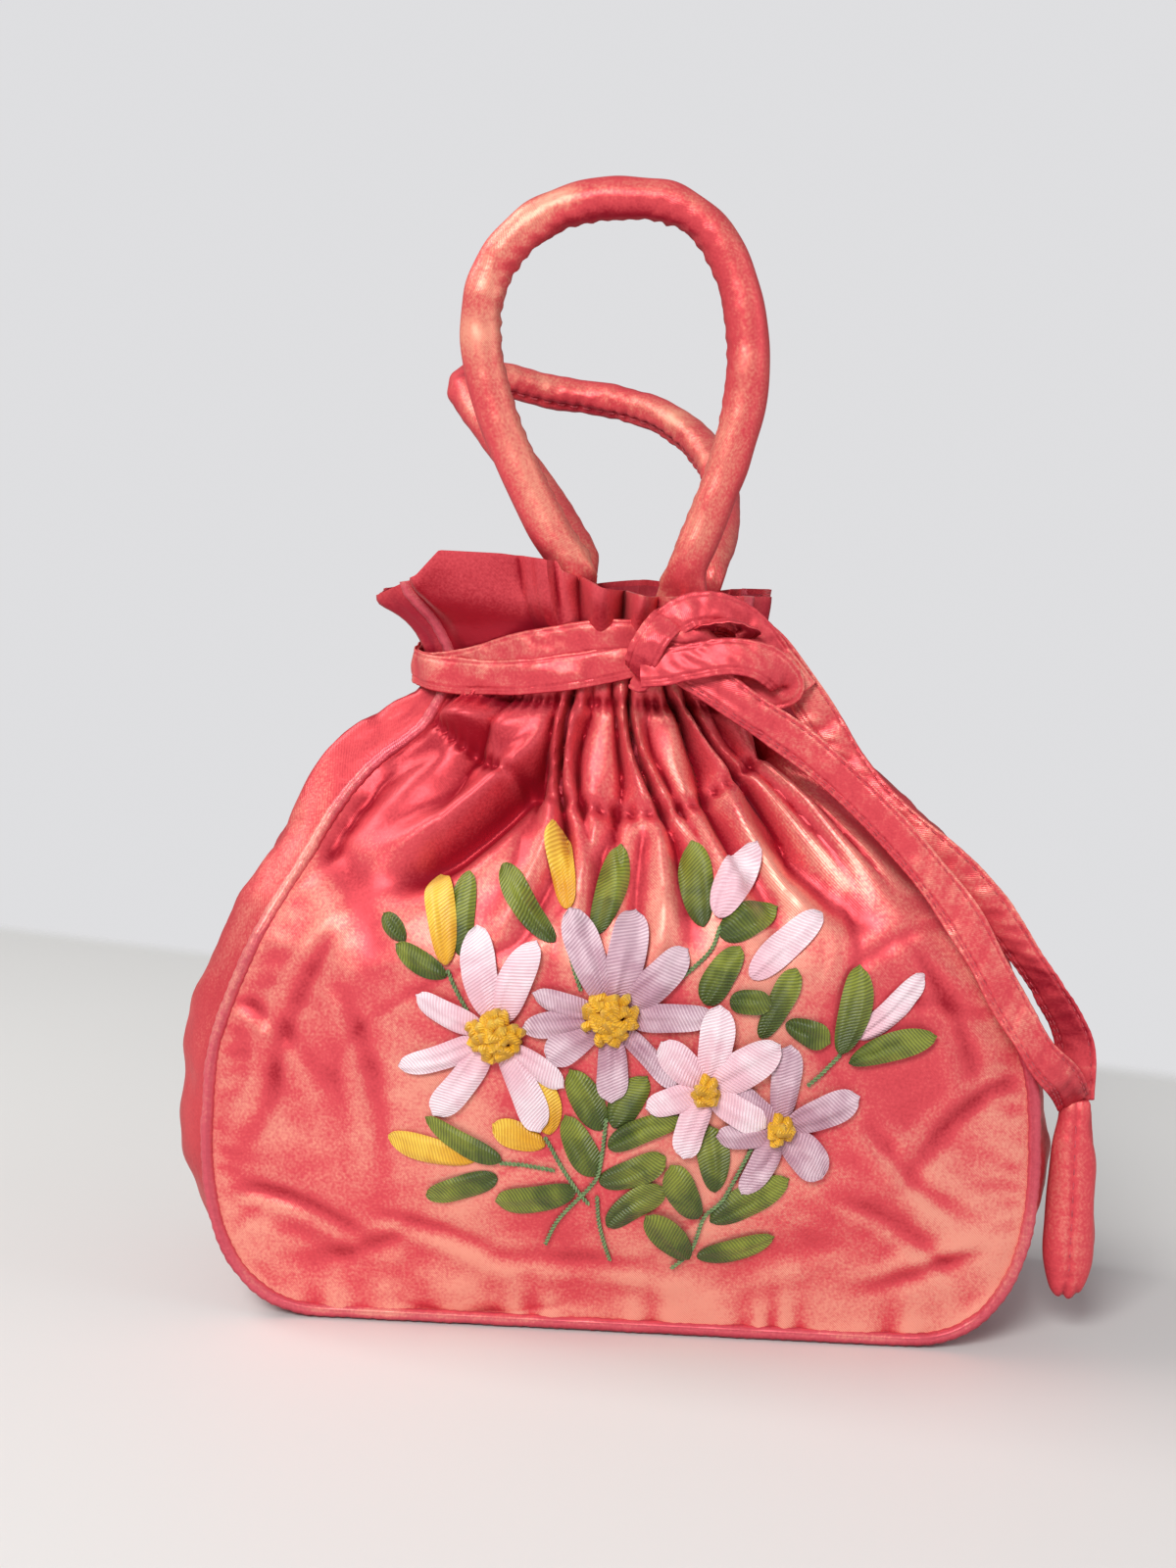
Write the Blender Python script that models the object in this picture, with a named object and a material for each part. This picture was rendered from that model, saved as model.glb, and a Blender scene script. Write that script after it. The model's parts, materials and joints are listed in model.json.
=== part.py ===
"""Potli bag: a gathered satin pouch with two padded handles, a tied ribbon and ribbon embroidery.

Metres, +Z up. The origin is the middle of the flat base, and the embroidered front faces -Y.
"""
import math

import bmesh
import bpy
import numpy as np
from mathutils import Matrix, Vector

MM = 0.001

# The pouch
HALF_WIDTH = 106.5 * MM
WIDEST_HEIGHT = 50.0 * MM
BASE_HALF = 74.0 * MM
SEAM_HEIGHT = 2.0 * MM
NECK_HALF = 43.0 * MM
NECK_HEIGHT = 165.0 * MM
RIM_HALF = 47.0 * MM
RIM_HEIGHT = 192.0 * MM
HALF_DEPTH = 40.0 * MM
NECK_SEAM_DEPTH = 13.0 * MM
PANEL_BULGE = 13.0 * MM
LEFT_BULGE = 15.0 * MM
RIGHT_BULGE = 5.0 * MM
NECK_BULGE = 7.0 * MM
NECK_LEAN = -6.5 * MM
CORNER_FULLNESS = 2.5
# Share of the way from neck to widest, against the share of the height between them
SHOULDER = ((0.0, 1.0), (0.2, 0.965), (0.45, 0.79), (0.67, 0.555), (0.8, 0.335), (0.9, 0.105), (1.0, 0.0))

# Cloth, piping and fits
PANEL_THICKNESS = 1.2 * MM
LINING_THICKNESS = 0.5 * MM
PIPING_RADIUS = 1.6 * MM
CLEARANCE = 0.3 * MM
LINING_GAP = 1.3 * MM
LINING_BELOW_RIM = 2.0 * MM
SIDE_ROWS = 17
BASE_COLUMNS = 3
PANEL_COLUMNS = 13

# Handles
HANDLE_RADIUS = 5.3 * MM
HANDLE_WALL = 0.8 * MM
HANDLE_OFFSET = 22.8 * MM
HANDLE_MOUTH = 1.6 * MM
HANDLE_INNER_MOUTH = 1.36 * MM
HANDLE_SIDES = 8
HANDLE_POINTS = 23

# Ribbon and drop
BAND_ABOVE_NECK = 3.0 * MM
BAND_HEIGHT = 12.0 * MM
BAND_LOW = NECK_HEIGHT + BAND_ABOVE_NECK
BAND_HIGH = BAND_LOW + BAND_HEIGHT
BAND_THICKNESS = 1.6 * MM
BAND_CLEARANCE = 0.8 * MM
RIBBON_WIDTH = 9.5 * MM
RIBBON_THICKNESS = 0.8 * MM
KNOT_RADII = (9.0 * MM, 6.0 * MM, 8.0 * MM)
KNOT_X = 9.0 * MM
KNOT_HEIGHT = 177.0 * MM
DROP_PLACE = (HALF_WIDTH + 11.0 * MM, -30.0 * MM)
TAIL_REACH = 117.5 * MM
DROP_HINGE_HEIGHT = 59.0 * MM
DROP_TOP_RADIUS = 4.5 * MM
DROP_LENGTH = 47.0 * MM
DROP_HALF_WIDTH = 6.2 * MM
DROP_HALF_DEPTH = 4.2 * MM
# The drop's top is a round shoulder, flattened, with a small flat where its first ring starts
DROP_TOP_START = math.pi / 2 - 0.12
DROP_TOP_FLATNESS = 0.7
# Below its hinge: share of the length, and share of the half width there
DROP_PROFILE = ((0.0, 0.73), (0.15, 0.9), (0.4, 1.0), (0.68, 1.0), (0.86, 0.82), (0.96, 0.5), (1.0, 0.25))

# Embroidery
STITCH_GAP = 0.4 * MM
STITCH_THICKNESS = 0.25 * MM
STITCH_LAYER = STITCH_THICKNESS + CLEARANCE
CENTRE_THICKNESS = 2.2 * MM
# Between two petals the plan comes in to this share of the centre's radius, or to this radius at least
NOTCH_SHARE = 0.75
NOTCH_LEAST = 3.0
# A daisy's plan is laid in rings at these shares of its size
DAISY_RINGS = (0.12, 0.55, 1.0)
# A centre's rings: share of its radius, share of its thickness
CENTRE_RINGS = ((1.0, 0.0), (1.0, 0.35), (0.8, 0.8), (0.4, 1.0))
# A single stitch runs over this part of half a turn, so its two ends are narrow but not sharp
STITCH_START = 0.08
STITCH_SPAN = 0.86
STITCH_ROUNDNESS = 0.7
# A petal's edge, as shares of its length and width
PETAL_SHAPE = ((0.3, -0.22), (0.7, -0.5), (1.0, -0.15), (1.0, 0.15), (0.7, 0.5), (0.3, 0.22))

# Handle lines in millimetres: x, distance from the hinge towards the back, height over the hinge
FRONT_HANDLE = (
    (-16.5, 0, 0), (-22.5, 0, 9), (-30.5, 0, 24), (-37, 0, 39), (-40.8, 0, 54), (-40.6, 0, 67),
    (-36, 0, 78), (-26.6, 0, 87), (-15, 0, 91.5), (-3.6, 0, 92.5), (7.7, 0, 91), (17.1, 0, 84.5),
    (23.8, 0, 72.5), (27, 0, 57.5), (26.8, 0, 43), (23.5, 0, 28), (18.2, 0, 12.5), (13.5, 0, 0),
)
BACK_HANDLE = (
    (-17, 0, 0), (-22.5, 6, 9), (-32, 19, 21.5), (-42, 32, 32), (-53, 46, 44), (-58.5, 58, 51.5),
    (-55.5, 68, 55.5), (-47, 75, 55), (-35, 79, 52.5), (-23, 80, 51), (-10, 77, 48.5), (2.5, 69, 44),
    (13.5, 57, 35.5), (20, 38, 24.5), (20.8, 16, 10.5), (18, 0, 0),
)
# Ribbon runs in millimetres, x, y, z; a tail's x is stretched until it reaches the drop
OUTER_TAIL = (
    (18.5, -33.5, 184.6), (25, -32, 184), (36, -29.5, 177), (49, -29.5, 160), (60, -33, 144),
    (73, -37, 132.5), (87, -38.5, 121), (99, -38, 106.5), (110, -34, 91.5),
    (116.5, -29.8, 79), (117.8, -28.9, 63.9),
)
INNER_TAIL = (
    (20, -41.5, 168), (30, -41, 163), (46, -40.5, 152.5), (64, -42.5, 137), (78, -44.5, 122),
    (87, -45.5, 110), (97, -46, 93), (106, -45.5, 79), (113, -39.5, 71), (116.9, -31.1, 63.9),
)
BOW_LOOP = (
    (19, -36.5, 172.5), (25, -38, 173), (33, -38.4, 172), (39.5, -36.8, 170.5),
    (40.5, -34.8, 170.5), (36, -33, 171.5), (28, -32, 172.5), (20.5, -31.6, 172.5),
)

# Daisies: centre x, z in millimetres, then petals as angle, length, width
DAISIES = {
    "daisy_left": ((-30, 80), 6.3, 1, (
        (102, 27, 7.2), (68, 25.4, 7.2), (156, 22, 5.6), (201, 26, 5.8), (234, 25.7, 7), (296, 26.4, 6.8),
        (325, 21, 4.8))),
    "daisy_top": ((-1.3, 86.2), 6.5, 1, (
        (114, 27.4, 7.2), (79, 26.5, 7.7), (43, 25, 7.2), (2, 25.3, 6.3), (314, 23.4, 4.8), (272, 21.3, 6.8),
        (217, 19, 7.2), (190, 22, 5.4), (165, 20, 5))),
    "daisy_middle": ((23, 68.5), 2.9, 2, (
        (83, 21.5, 7.2), (134, 16.4, 6.8), (35, 21.2, 8.2), (198, 15.4, 6), (253, 17.6, 6.8),
        (329, 17, 6.8))),
    "daisy_right": ((41.5, 59), 2.9, 1, (
        (85, 21.2, 6.3), (24, 21, 6.8), (312, 16, 7.7), (242, 18.7, 5.8), (188, 15.5, 6), (140, 15.2, 6.3))),
}
# Single stitches in millimetres: base x, z, tip x, z, width, layer
PALE_BUDS = ((24, 111, 33, 127, 8, 1), (33, 97, 50, 112, 7, 0), (60, 82, 76, 98, 6, 0))
YELLOW_BUDS = (
    (-13, 112, -18, 131, 6, 0), (-43, 97, -48, 120, 7, 1), (-34, 48, -57, 52, 6, 0),
    (-17, 52, -30, 57, 6, 0), (-16, 55, -20, 70, 7, 0),
)
LEAVES = (
    (-39, 99, -39, 119, 6, 0), (-16, 104, -30, 121, 6, 0), (-6, 106, -1, 127, 7, 0),
    (21, 109, 17, 128, 7, 0),
    (-54, 102, -60, 108, 4, 0), (-43, 94, -56, 101, 5, 0), (25, 107, 39, 114, 7, 0), (22, 90, 30, 104, 7, 0),
    (28, 91, 38, 91, 6, 1), (36, 82, 44, 99, 6, 0), (42, 86, 53, 81, 6, 1), (56, 78, 60, 100, 7, 1),
    (58, 76, 79, 83, 6, 2), (-3, 57, -11, 72, 7, 0), (0, 58, 8, 71, 7, 0), (-4, 45, -12, 60, 7, 0),
    (-1, 53, 17, 61, 6, 1), (-3, 43, 13, 51, 7, 0), (-1, 31, 13, 43, 7, 0), (22, 35, 15, 49, 7, 1),
    (26, 42, 24, 59, 7, 0), (20, 23, 9, 35, 7, 1), (25, 34, 44, 46, 7, 0), (22, 23, 41, 30, 6, 0),
    (-28, 48, -47, 58, 5, 1), (-29, 43.5, -47, 37, 6, 0), (-9, 41, -29, 37, 7, 0),
)

CORAL = (0.72, 0.12, 0.15, 1.0)
LINING_PINK = (0.62, 0.16, 0.18, 1.0)
WADDING = (0.85, 0.82, 0.78, 1.0)
PALE_PINK = (0.88, 0.70, 0.78, 1.0)
MAUVE = (0.52, 0.33, 0.48, 1.0)
YELLOW = (0.80, 0.45, 0.04, 1.0)
GREEN = (0.11, 0.22, 0.03, 1.0)


def smooth(value):
    """Rises from 0 to 1 without a corner."""
    t = np.clip(value, 0, 1)
    return t * t * (3 - 2 * t)


def curve_through(points, count):
    """A Catmull-Rom curve through the points, sampled at even distances."""
    p = np.asarray(points, float)
    p = np.vstack([2 * p[0] - p[1], p, 2 * p[-1] - p[-2]])
    t = np.linspace(0, 1, 12, endpoint=False)[:, None]
    runs = []
    for a, b, c, d in zip(p[:-3], p[1:-2], p[2:-1], p[3:]):
        cubic = (3 * b - a - 3 * c + d) * t**3 + (2 * a - 5 * b + 4 * c - d) * t**2
        runs.append(0.5 * (cubic + (c - a) * t + 2 * b))
    dense = np.vstack(runs + [p[-2:-1]])
    distance = np.r_[0, np.cumsum(np.linalg.norm(np.diff(dense, axis=0), axis=1))]
    wanted = np.linspace(0, distance[-1], count)
    return np.stack([np.interp(wanted, distance, axis) for axis in dense.T], axis=1)


def half_outline():
    """The right half of the seam seen from the front, from the base corner to the rim, as x and z."""
    turn = np.linspace(math.pi / 2, 0, 24, endpoint=False)
    corner_z = WIDEST_HEIGHT - (WIDEST_HEIGHT - SEAM_HEIGHT) * np.sin(turn) ** (2 / CORNER_FULLNESS)
    corner_x = BASE_HALF + (HALF_WIDTH - BASE_HALF) * np.cos(turn) ** (2 / CORNER_FULLNESS)
    share = curve_through(SHOULDER, 40)
    shoulder_z = WIDEST_HEIGHT + (NECK_HEIGHT - WIDEST_HEIGHT) * share[:, 0]
    shoulder_x = NECK_HALF + (HALF_WIDTH - NECK_HALF) * share[:, 1]
    rim = np.linspace(0, 1, 7)[1:]
    rim_z = NECK_HEIGHT + (RIM_HEIGHT - NECK_HEIGHT) * rim
    rim_x = NECK_HALF + (RIM_HALF - NECK_HALF) * smooth(rim)
    return np.r_[corner_x, shoulder_x, rim_x], np.r_[corner_z, shoulder_z, rim_z]


OUTLINE_X, OUTLINE_Z = half_outline()


def half_width(z):
    return np.interp(z, OUTLINE_Z, OUTLINE_X)


def lean(z):
    """How far the neck has sunk to the left."""
    return NECK_LEAN * smooth((z / NECK_HEIGHT - 0.7) / 0.22)


def seam_depth(z):
    """Distance of the seams from the middle plane."""
    return HALF_DEPTH + (NECK_SEAM_DEPTH - HALF_DEPTH) * smooth((z / NECK_HEIGHT - 0.57) / 0.39)


def front_depth(x, z):
    """Distance of a panel's outer face from the middle plane, with its bulge between the seams."""
    across = np.clip((x - lean(z)) / half_width(z), -1, 1)
    return seam_depth(z) + PANEL_BULGE * smooth(z / WIDEST_HEIGHT) * (1 - across**2)


def side_bulge(z, side):
    """How far the gusset swells past its seams, on the left (side -1) or right (side 1)."""
    swell = LEFT_BULGE if side < 0 else RIGHT_BULGE
    low = SEAM_HEIGHT + (swell - SEAM_HEIGHT) * smooth((z - SEAM_HEIGHT) / (WIDEST_HEIGHT - SEAM_HEIGHT))
    return low + (NECK_BULGE - low) * smooth((z / NECK_HEIGHT - 0.86) / 0.12)


def across_gusset(s):
    """The share of the swell at s, which runs from -1 at the front seam to 1 at the back seam."""
    return np.minimum(1, 1.25 * (1 - s**4))


def side_line(count):
    """Seam points from base corner to rim on the right, and their outward normals, in x and z."""
    line = curve_through(np.stack([OUTLINE_X, OUTLINE_Z], 1), count)
    tangent = np.gradient(line, axis=0)
    tangent[0] = (1, 0)
    normal = np.stack([tangent[:, 1], -tangent[:, 0]], 1)
    return line, normal / np.linalg.norm(normal, axis=1)[:, None]


def seam_line(side_count, base_count):
    """The whole seam, left rim to right rim: x and z, outward normals, and the side of each point."""
    line, normal = side_line(side_count)
    base_x = np.linspace(-BASE_HALF, BASE_HALF, base_count + 2)[1:-1]
    base = np.stack([base_x, np.full(base_count, SEAM_HEIGHT)], 1)
    down = np.tile((0.0, -1.0), (base_count, 1))
    mirror = np.array((-1.0, 1.0))
    points = np.vstack([line[::-1] * mirror, base, line])
    normals = np.vstack([normal[::-1] * mirror, down, normal])
    points[:, 0] += lean(points[:, 1])
    side = np.where(points[:, 0] < 0, -1, 1)
    return points, normals, side


def gusset_swell(points, side):
    left, right = side_bulge(points[:, 1], -1), side_bulge(points[:, 1], 1)
    return np.where(side < 0, left, right)


def finish_object(name, mesh, colour, roughness):
    """Puts a mesh into the scene with its own material, smooth except at its edges."""
    piece = bpy.data.objects.new(name, mesh)
    bpy.context.scene.collection.objects.link(piece)
    material = bpy.data.materials.new(name)
    material.use_nodes = True
    shader = material.node_tree.nodes["Principled BSDF"]
    shader.inputs["Base Color"].default_value = colour
    shader.inputs["Roughness"].default_value = roughness
    shader.inputs["Metallic"].default_value = 0.0
    mesh.materials.append(material)
    if hasattr(mesh, "shade_smooth"):
        mesh.shade_smooth()
        mesh.set_sharp_from_angle(angle=math.radians(40))
    return piece


def mesh_from(name, vertices, faces):
    """A mesh whose faces all point outwards."""
    mesh = bpy.data.meshes.new(name)
    mesh.from_pydata([tuple(v) for v in vertices], [], faces)
    work = bmesh.new()
    work.from_mesh(mesh)
    bmesh.ops.remove_doubles(work, verts=work.verts, dist=0.00001)
    bmesh.ops.recalc_face_normals(work, faces=work.faces)
    work.to_mesh(mesh)
    work.free()
    return mesh


def grid_faces(rows, columns, start=0, closed=False):
    """Quads over a grid of rows; closed joins the last column to the first."""
    faces = []
    for i in range(rows - 1):
        for j in range(columns if closed else columns - 1):
            k = (j + 1) % columns
            a, b = start + i * columns, start + (i + 1) * columns
            faces.append((a + j, a + k, b + k, b + j))
    return faces


def slab(name, outer, inner, colour, roughness):
    """A closed sheet of cloth between two grids of points, with its four edges filled."""
    rows, columns = outer.shape[:2]
    size = rows * columns
    vertices = np.vstack([outer.reshape(-1, 3), inner.reshape(-1, 3)])
    front = grid_faces(rows, columns)
    back = [face[::-1] for face in grid_faces(rows, columns, size)]
    rim = [i * columns for i in range(rows)] + [(rows - 1) * columns + j for j in range(1, columns)]
    rim += [i * columns + columns - 1 for i in range(rows - 2, -1, -1)] + list(range(columns - 2, 0, -1))
    edges = [(a, b, b + size, a + size) for a, b in zip(rim, rim[1:] + rim[:1])]
    return finish_object(name, mesh_from(name, vertices, front + back + edges), colour, roughness)


def make_panel(name, side, rows=SIDE_ROWS, columns=PANEL_COLUMNS):
    """The front (side -1) or back (side 1) panel, from just inside the piping to the rim."""
    line, normal = side_line(rows)
    edge = line - normal * (PIPING_RADIUS + CLEARANCE)
    edge[:, 1] = np.minimum(edge[:, 1], RIM_HEIGHT)
    edge[-1, 1] = RIM_HEIGHT
    across = np.linspace(-1, 1, columns)
    z = np.repeat(edge[:, 1:2], columns, axis=1)
    x = edge[:, 0:1] * across + lean(z)
    outer = np.stack([x, side * front_depth(x, z), z], -1)
    inner = outer.copy()
    inner[..., 1] -= side * PANEL_THICKNESS
    return slab(name, outer, inner, CORAL, 0.35)


def make_gusset(rows=7):
    """One strip down the left side, under the bag and up the right side."""
    points, normals, side = seam_line(SIDE_ROWS, BASE_COLUMNS)
    s = np.linspace(-1, 1, rows)
    swell = gusset_swell(points, side)[:, None] * across_gusset(s)
    y = (seam_depth(points[:, 1]) - PIPING_RADIUS - CLEARANCE)[:, None] * s

    def layer(sunk):
        out = swell - sunk
        x = points[:, 0:1] + normals[:, 0:1] * out
        z = points[:, 1:2] + normals[:, 1:2] * out
        return np.stack([x, y, z], -1)

    return slab("gusset", layer(0), layer(PANEL_THICKNESS), CORAL, 0.35)


def make_piping(name, side):
    """A covered cord along the seam, round the whole panel."""
    points, _, _ = seam_line(SIDE_ROWS, BASE_COLUMNS)
    y = side * seam_depth(points[:, 1])
    line = np.stack([points[:, 0], y, points[:, 1]], 1)
    return make_cord(name, line, PIPING_RADIUS, 1, CORAL)


def make_cord(name, line, radius, resolution, colour):
    """A round cord along a line of points, with filled ends."""
    curve = bpy.data.curves.new(name, "CURVE")
    curve.dimensions = "3D"
    curve.bevel_depth = radius
    curve.bevel_resolution = resolution
    curve.use_fill_caps = True
    spline = curve.splines.new("POLY")
    spline.points.add(len(line) - 1)
    for point, place in zip(spline.points, line):
        point.co = (*place, 1.0)
    return finish_object(name, curve, colour, 0.4)


def section(z, outset, columns=9, side_columns=5):
    """The closed outline of the pouch at one height, moved outwards by outset, as x and y."""
    u = np.linspace(-1, 1, columns)
    x = half_width(z) * u + lean(z)
    front = np.stack([x, -front_depth(x, z)], 1)
    s = np.linspace(-1, 1, side_columns)[1:-1]
    right_x = half_width(z) + lean(z) + side_bulge(z, 1) * across_gusset(s)
    left_x = -half_width(z) + lean(z) - side_bulge(z, -1) * across_gusset(s)
    right = np.stack([right_x, seam_depth(z) * s], 1)
    left = np.stack([left_x, seam_depth(z) * s], 1)
    ring = np.vstack([front, right, front[::-1] * (1, -1), left[::-1]])
    tangent = np.roll(ring, -1, axis=0) - np.roll(ring, 1, axis=0)
    normal = np.stack([tangent[:, 1], -tangent[:, 0]], 1)
    return ring + outset * normal / np.linalg.norm(normal, axis=1)[:, None]


def make_lining(rows=SIDE_ROWS, columns=PANEL_COLUMNS, side_columns=5):
    """A thin inner bag that follows the panels and the gusset, open at the top."""
    line, normal = side_line(rows)
    sunk = PANEL_THICKNESS + LINING_GAP
    u = np.linspace(-1, 1, columns)
    s = np.linspace(-1, 1, side_columns)

    def rings(inset):
        edge = line - normal * inset
        edge[-1, 1] = RIM_HEIGHT - LINING_BELOW_RIM
        z = edge[:, 1]
        shift = lean(z)[:, None]
        x = edge[:, 0:1] * u + shift
        depth = front_depth(x, z[:, None]) - inset
        height = np.repeat(z[:, None], columns, axis=1)
        front = np.stack([x, -depth, height], -1)
        back = np.stack([x[:, ::-1], depth[:, ::-1], height], -1)
        y = (seam_depth(z) - PIPING_RADIUS - CLEARANCE - inset)[:, None] * s
        sides = []
        for side in (1, -1):
            swell = side_bulge(line[:, 1], side)[:, None] * across_gusset(s)
            side_x = side * (edge[:, 0:1] + normal[:, 0:1] * swell) + shift
            sides.append(np.stack([side_x, y, edge[:, 1:2] + normal[:, 1:2] * swell], -1))
        right, left = sides
        return np.concatenate([front, right, back, left[:, ::-1]], axis=1)

    outer, inner = rings(sunk), rings(sunk + LINING_THICKNESS)
    count, around = outer.shape[:2]
    size = count * around
    faces = grid_faces(count, around, 0, True) + grid_faces(count, around, size, True)
    top = (count - 1) * around
    for j in range(around):
        k = (j + 1) % around
        faces.append((top + j, top + k, size + top + k, size + top + j))
    vertices = [outer.reshape(-1, 3), inner.reshape(-1, 3)]
    start = 2 * size
    for ring in (outer[0], inner[0]):
        front, back = ring[:columns], ring[columns + side_columns:2 * columns + side_columns][::-1]
        left = ring[2 * columns + side_columns:][::-1]
        edge_z = np.r_[front[0, 2], left[:, 2], back[0, 2]]
        y = np.r_[front[0, 1], left[:, 1], back[0, 1]] / abs(front[0, 1])
        floor_x = np.repeat(front[None, :, 0], side_columns + 2, axis=0)
        floor_y = y[:, None] * np.abs(front[:, 1])[None]
        floor_z = np.repeat(edge_z[:, None], columns, axis=1)
        vertices.append(np.stack([floor_x, floor_y, floor_z], -1).reshape(-1, 3))
        faces += grid_faces(side_columns + 2, columns, start)
        start += (side_columns + 2) * columns
    mesh = mesh_from("lining", np.vstack(vertices), faces)
    return finish_object("lining", mesh, LINING_PINK, 0.5)


def frames_along(line):
    """Two directions square to the line at each point, carried along it without twist."""
    tangent = np.gradient(line, axis=0)
    tangent /= np.linalg.norm(tangent, axis=1)[:, None]
    side = np.cross(tangent[0], (0.0, 1.0, 0.3))
    across = []
    for direction in tangent:
        side = side - direction * side.dot(direction)
        side = side / np.linalg.norm(side)
        across.append(side)
    across = np.array(across)
    return tangent, across, np.cross(tangent, across)


def tube_rings(line, radii, sides):
    """Rings of points round a line."""
    _, across, up = frames_along(line)
    turn = np.linspace(0, 2 * math.pi, sides, endpoint=False)
    ring = across[:, None] * np.cos(turn)[:, None] + up[:, None] * np.sin(turn)[:, None]
    return line[:, None] + ring * radii[:, None, None]


def handle_line(points, side):
    """The middle line of a handle, whose ends lie on the hinge, and beyond them its rounded ends."""
    axis_height = RIM_HEIGHT + CLEARANCE + HANDLE_RADIUS
    line = curve_through(np.array(points, float) * MM, HANDLE_POINTS)
    line += (0, side * HANDLE_OFFSET, axis_height)
    return line


def rounded(line, radius, mouth):
    """Adds round ends of this radius past both ends of a line, down to a mouth; also the radii."""
    steps = np.linspace(0, math.acos(mouth / radius), 4)[1:]
    first, last = line[0] - line[1], line[-1] - line[-2]
    first, last = first / np.linalg.norm(first), last / np.linalg.norm(last)
    reach = (radius * np.sin(steps))[:, None]
    taper = radius * np.cos(steps)
    whole = np.vstack([(line[0] + first * reach)[::-1], line, line[-1] + last * reach])
    return whole, np.r_[taper[::-1], np.full(len(line), radius), taper]


def make_handle(name, points, side):
    """A padded handle: a cover of cloth, open at its two ends, over a soft core."""
    middle = handle_line(points, side)
    inner_radius = HANDLE_RADIUS - HANDLE_WALL
    outer = tube_rings(*rounded(middle, HANDLE_RADIUS, HANDLE_MOUTH), HANDLE_SIDES)
    inner = tube_rings(*rounded(middle, inner_radius, HANDLE_INNER_MOUTH), HANDLE_SIDES)
    rows = len(outer)
    size = rows * HANDLE_SIDES
    vertices = np.vstack([outer.reshape(-1, 3), inner.reshape(-1, 3)])
    faces = grid_faces(rows, HANDLE_SIDES, 0, True) + grid_faces(rows, HANDLE_SIDES, size, True)
    for start in (0, size - HANDLE_SIDES):
        for j in range(HANDLE_SIDES):
            a, b = start + j, start + (j + 1) % HANDLE_SIDES
            faces.append((a, b, b + size, a + size))
    cover = finish_object(f"{name}_cover", mesh_from(name, vertices, faces), CORAL, 0.35)
    core_line, core_radii = rounded(middle, inner_radius - CLEARANCE, HANDLE_MOUTH)
    core_rings = tube_rings(core_line, core_radii, HANDLE_SIDES)
    core = closed_rings(f"{name}_core", core_rings, WADDING, 0.9)
    move_origin((cover, core), middle[0])
    return cover, core


def move_origin(pieces, place):
    """Puts the origin of moving pieces on their hinge, with their meshes where they were."""
    for piece in pieces:
        piece.data.transform(Matrix.Translation(-Vector(place)))
        piece.location = place


def closed_rings(name, rings, colour, roughness):
    """A closed solid over a stack of rings, with flat ends."""
    rows, sides = rings.shape[:2]
    last = (rows - 1) * sides
    ends = [tuple(range(sides)), tuple(range(last, last + sides))]
    mesh = mesh_from(name, rings.reshape(-1, 3), grid_faces(rows, sides, 0, True) + ends)
    return finish_object(name, mesh, colour, roughness)


def make_band(levels=3):
    """The ribbon's turns round the neck, outside the piping."""
    inside = PIPING_RADIUS + BAND_CLEARANCE
    heights = np.linspace(BAND_LOW, BAND_HIGH, levels)

    def wall(outset):
        rings = [section(z, outset, 13, 9) for z in heights]
        return np.array([np.column_stack([ring, np.full(len(ring), z)]) for ring, z in zip(rings, heights)])

    outer, inner = wall(inside + BAND_THICKNESS), wall(inside)
    around = outer.shape[1]
    size = levels * around
    faces = grid_faces(levels, around, 0, True) + grid_faces(levels, around, size, True)
    for start in (0, size - around):
        for j in range(around):
            a, b = start + j, start + (j + 1) % around
            faces.append((a, b, b + size, a + size))
    vertices = np.vstack([outer.reshape(-1, 3), inner.reshape(-1, 3)])
    return finish_object("ribbon_band", mesh_from("ribbon_band", vertices, faces), CORAL, 0.35)


def band_face():
    """The y of the band's outer face at the knot."""
    outset = PIPING_RADIUS + BAND_CLEARANCE + BAND_THICKNESS
    return -front_depth(KNOT_X, BAND_HIGH) - outset


def make_knot():
    """The ribbon's knot, a soft lump seated on the band."""
    middle = np.array((KNOT_X, band_face() - CLEARANCE - KNOT_RADII[1], KNOT_HEIGHT))
    work = bmesh.new()
    bmesh.ops.create_icosphere(work, subdivisions=2, radius=1.0)
    for vertex in work.verts:
        vertex.co = middle + np.array(vertex.co) * KNOT_RADII
    mesh = bpy.data.meshes.new("ribbon_knot")
    work.to_mesh(mesh)
    work.free()
    return finish_object("ribbon_knot", mesh, CORAL, 0.35)


def make_tail(name, points, count, width=RIBBON_WIDTH):
    """A flat ribbon from the knot to the drop, its width square to its line and facing the front."""
    line = curve_through(np.array(points, float) * MM, count)
    line[:, 0] *= DROP_PLACE[0] / TAIL_REACH
    tangent = np.gradient(line, axis=0)
    facing = np.array((0.0, 1.0, 0.0))
    across = np.cross(tangent, facing)
    across /= np.linalg.norm(across, axis=1)[:, None]
    thick = np.cross(across, tangent)
    thick /= np.linalg.norm(thick, axis=1)[:, None]
    half, deep = across * width / 2, thick * RIBBON_THICKNESS / 2
    rings = np.stack([line + half + deep, line - half + deep, line - half - deep, line + half - deep], 1)
    return closed_rings(name, rings, CORAL, 0.35)


def make_bow_loop():
    """One loop of the bow, a ribbon turned back on itself with its width upright."""
    line = curve_through(np.array(BOW_LOOP, float) * MM, 18)
    tangent = np.gradient(line, axis=0)
    tangent /= np.linalg.norm(tangent, axis=1)[:, None]
    upright = np.array((0.0, 0.0, 1.0))
    thick = np.cross(tangent, upright)
    thick /= np.linalg.norm(thick, axis=1)[:, None]
    half, deep = np.tile(upright * RIBBON_WIDTH / 2, (18, 1)), thick * RIBBON_THICKNESS / 2
    rings = np.stack([line + half + deep, line - half + deep, line - half - deep, line + half - deep], 1)
    return closed_rings("bow_loop", rings, CORAL, 0.35)


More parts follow.
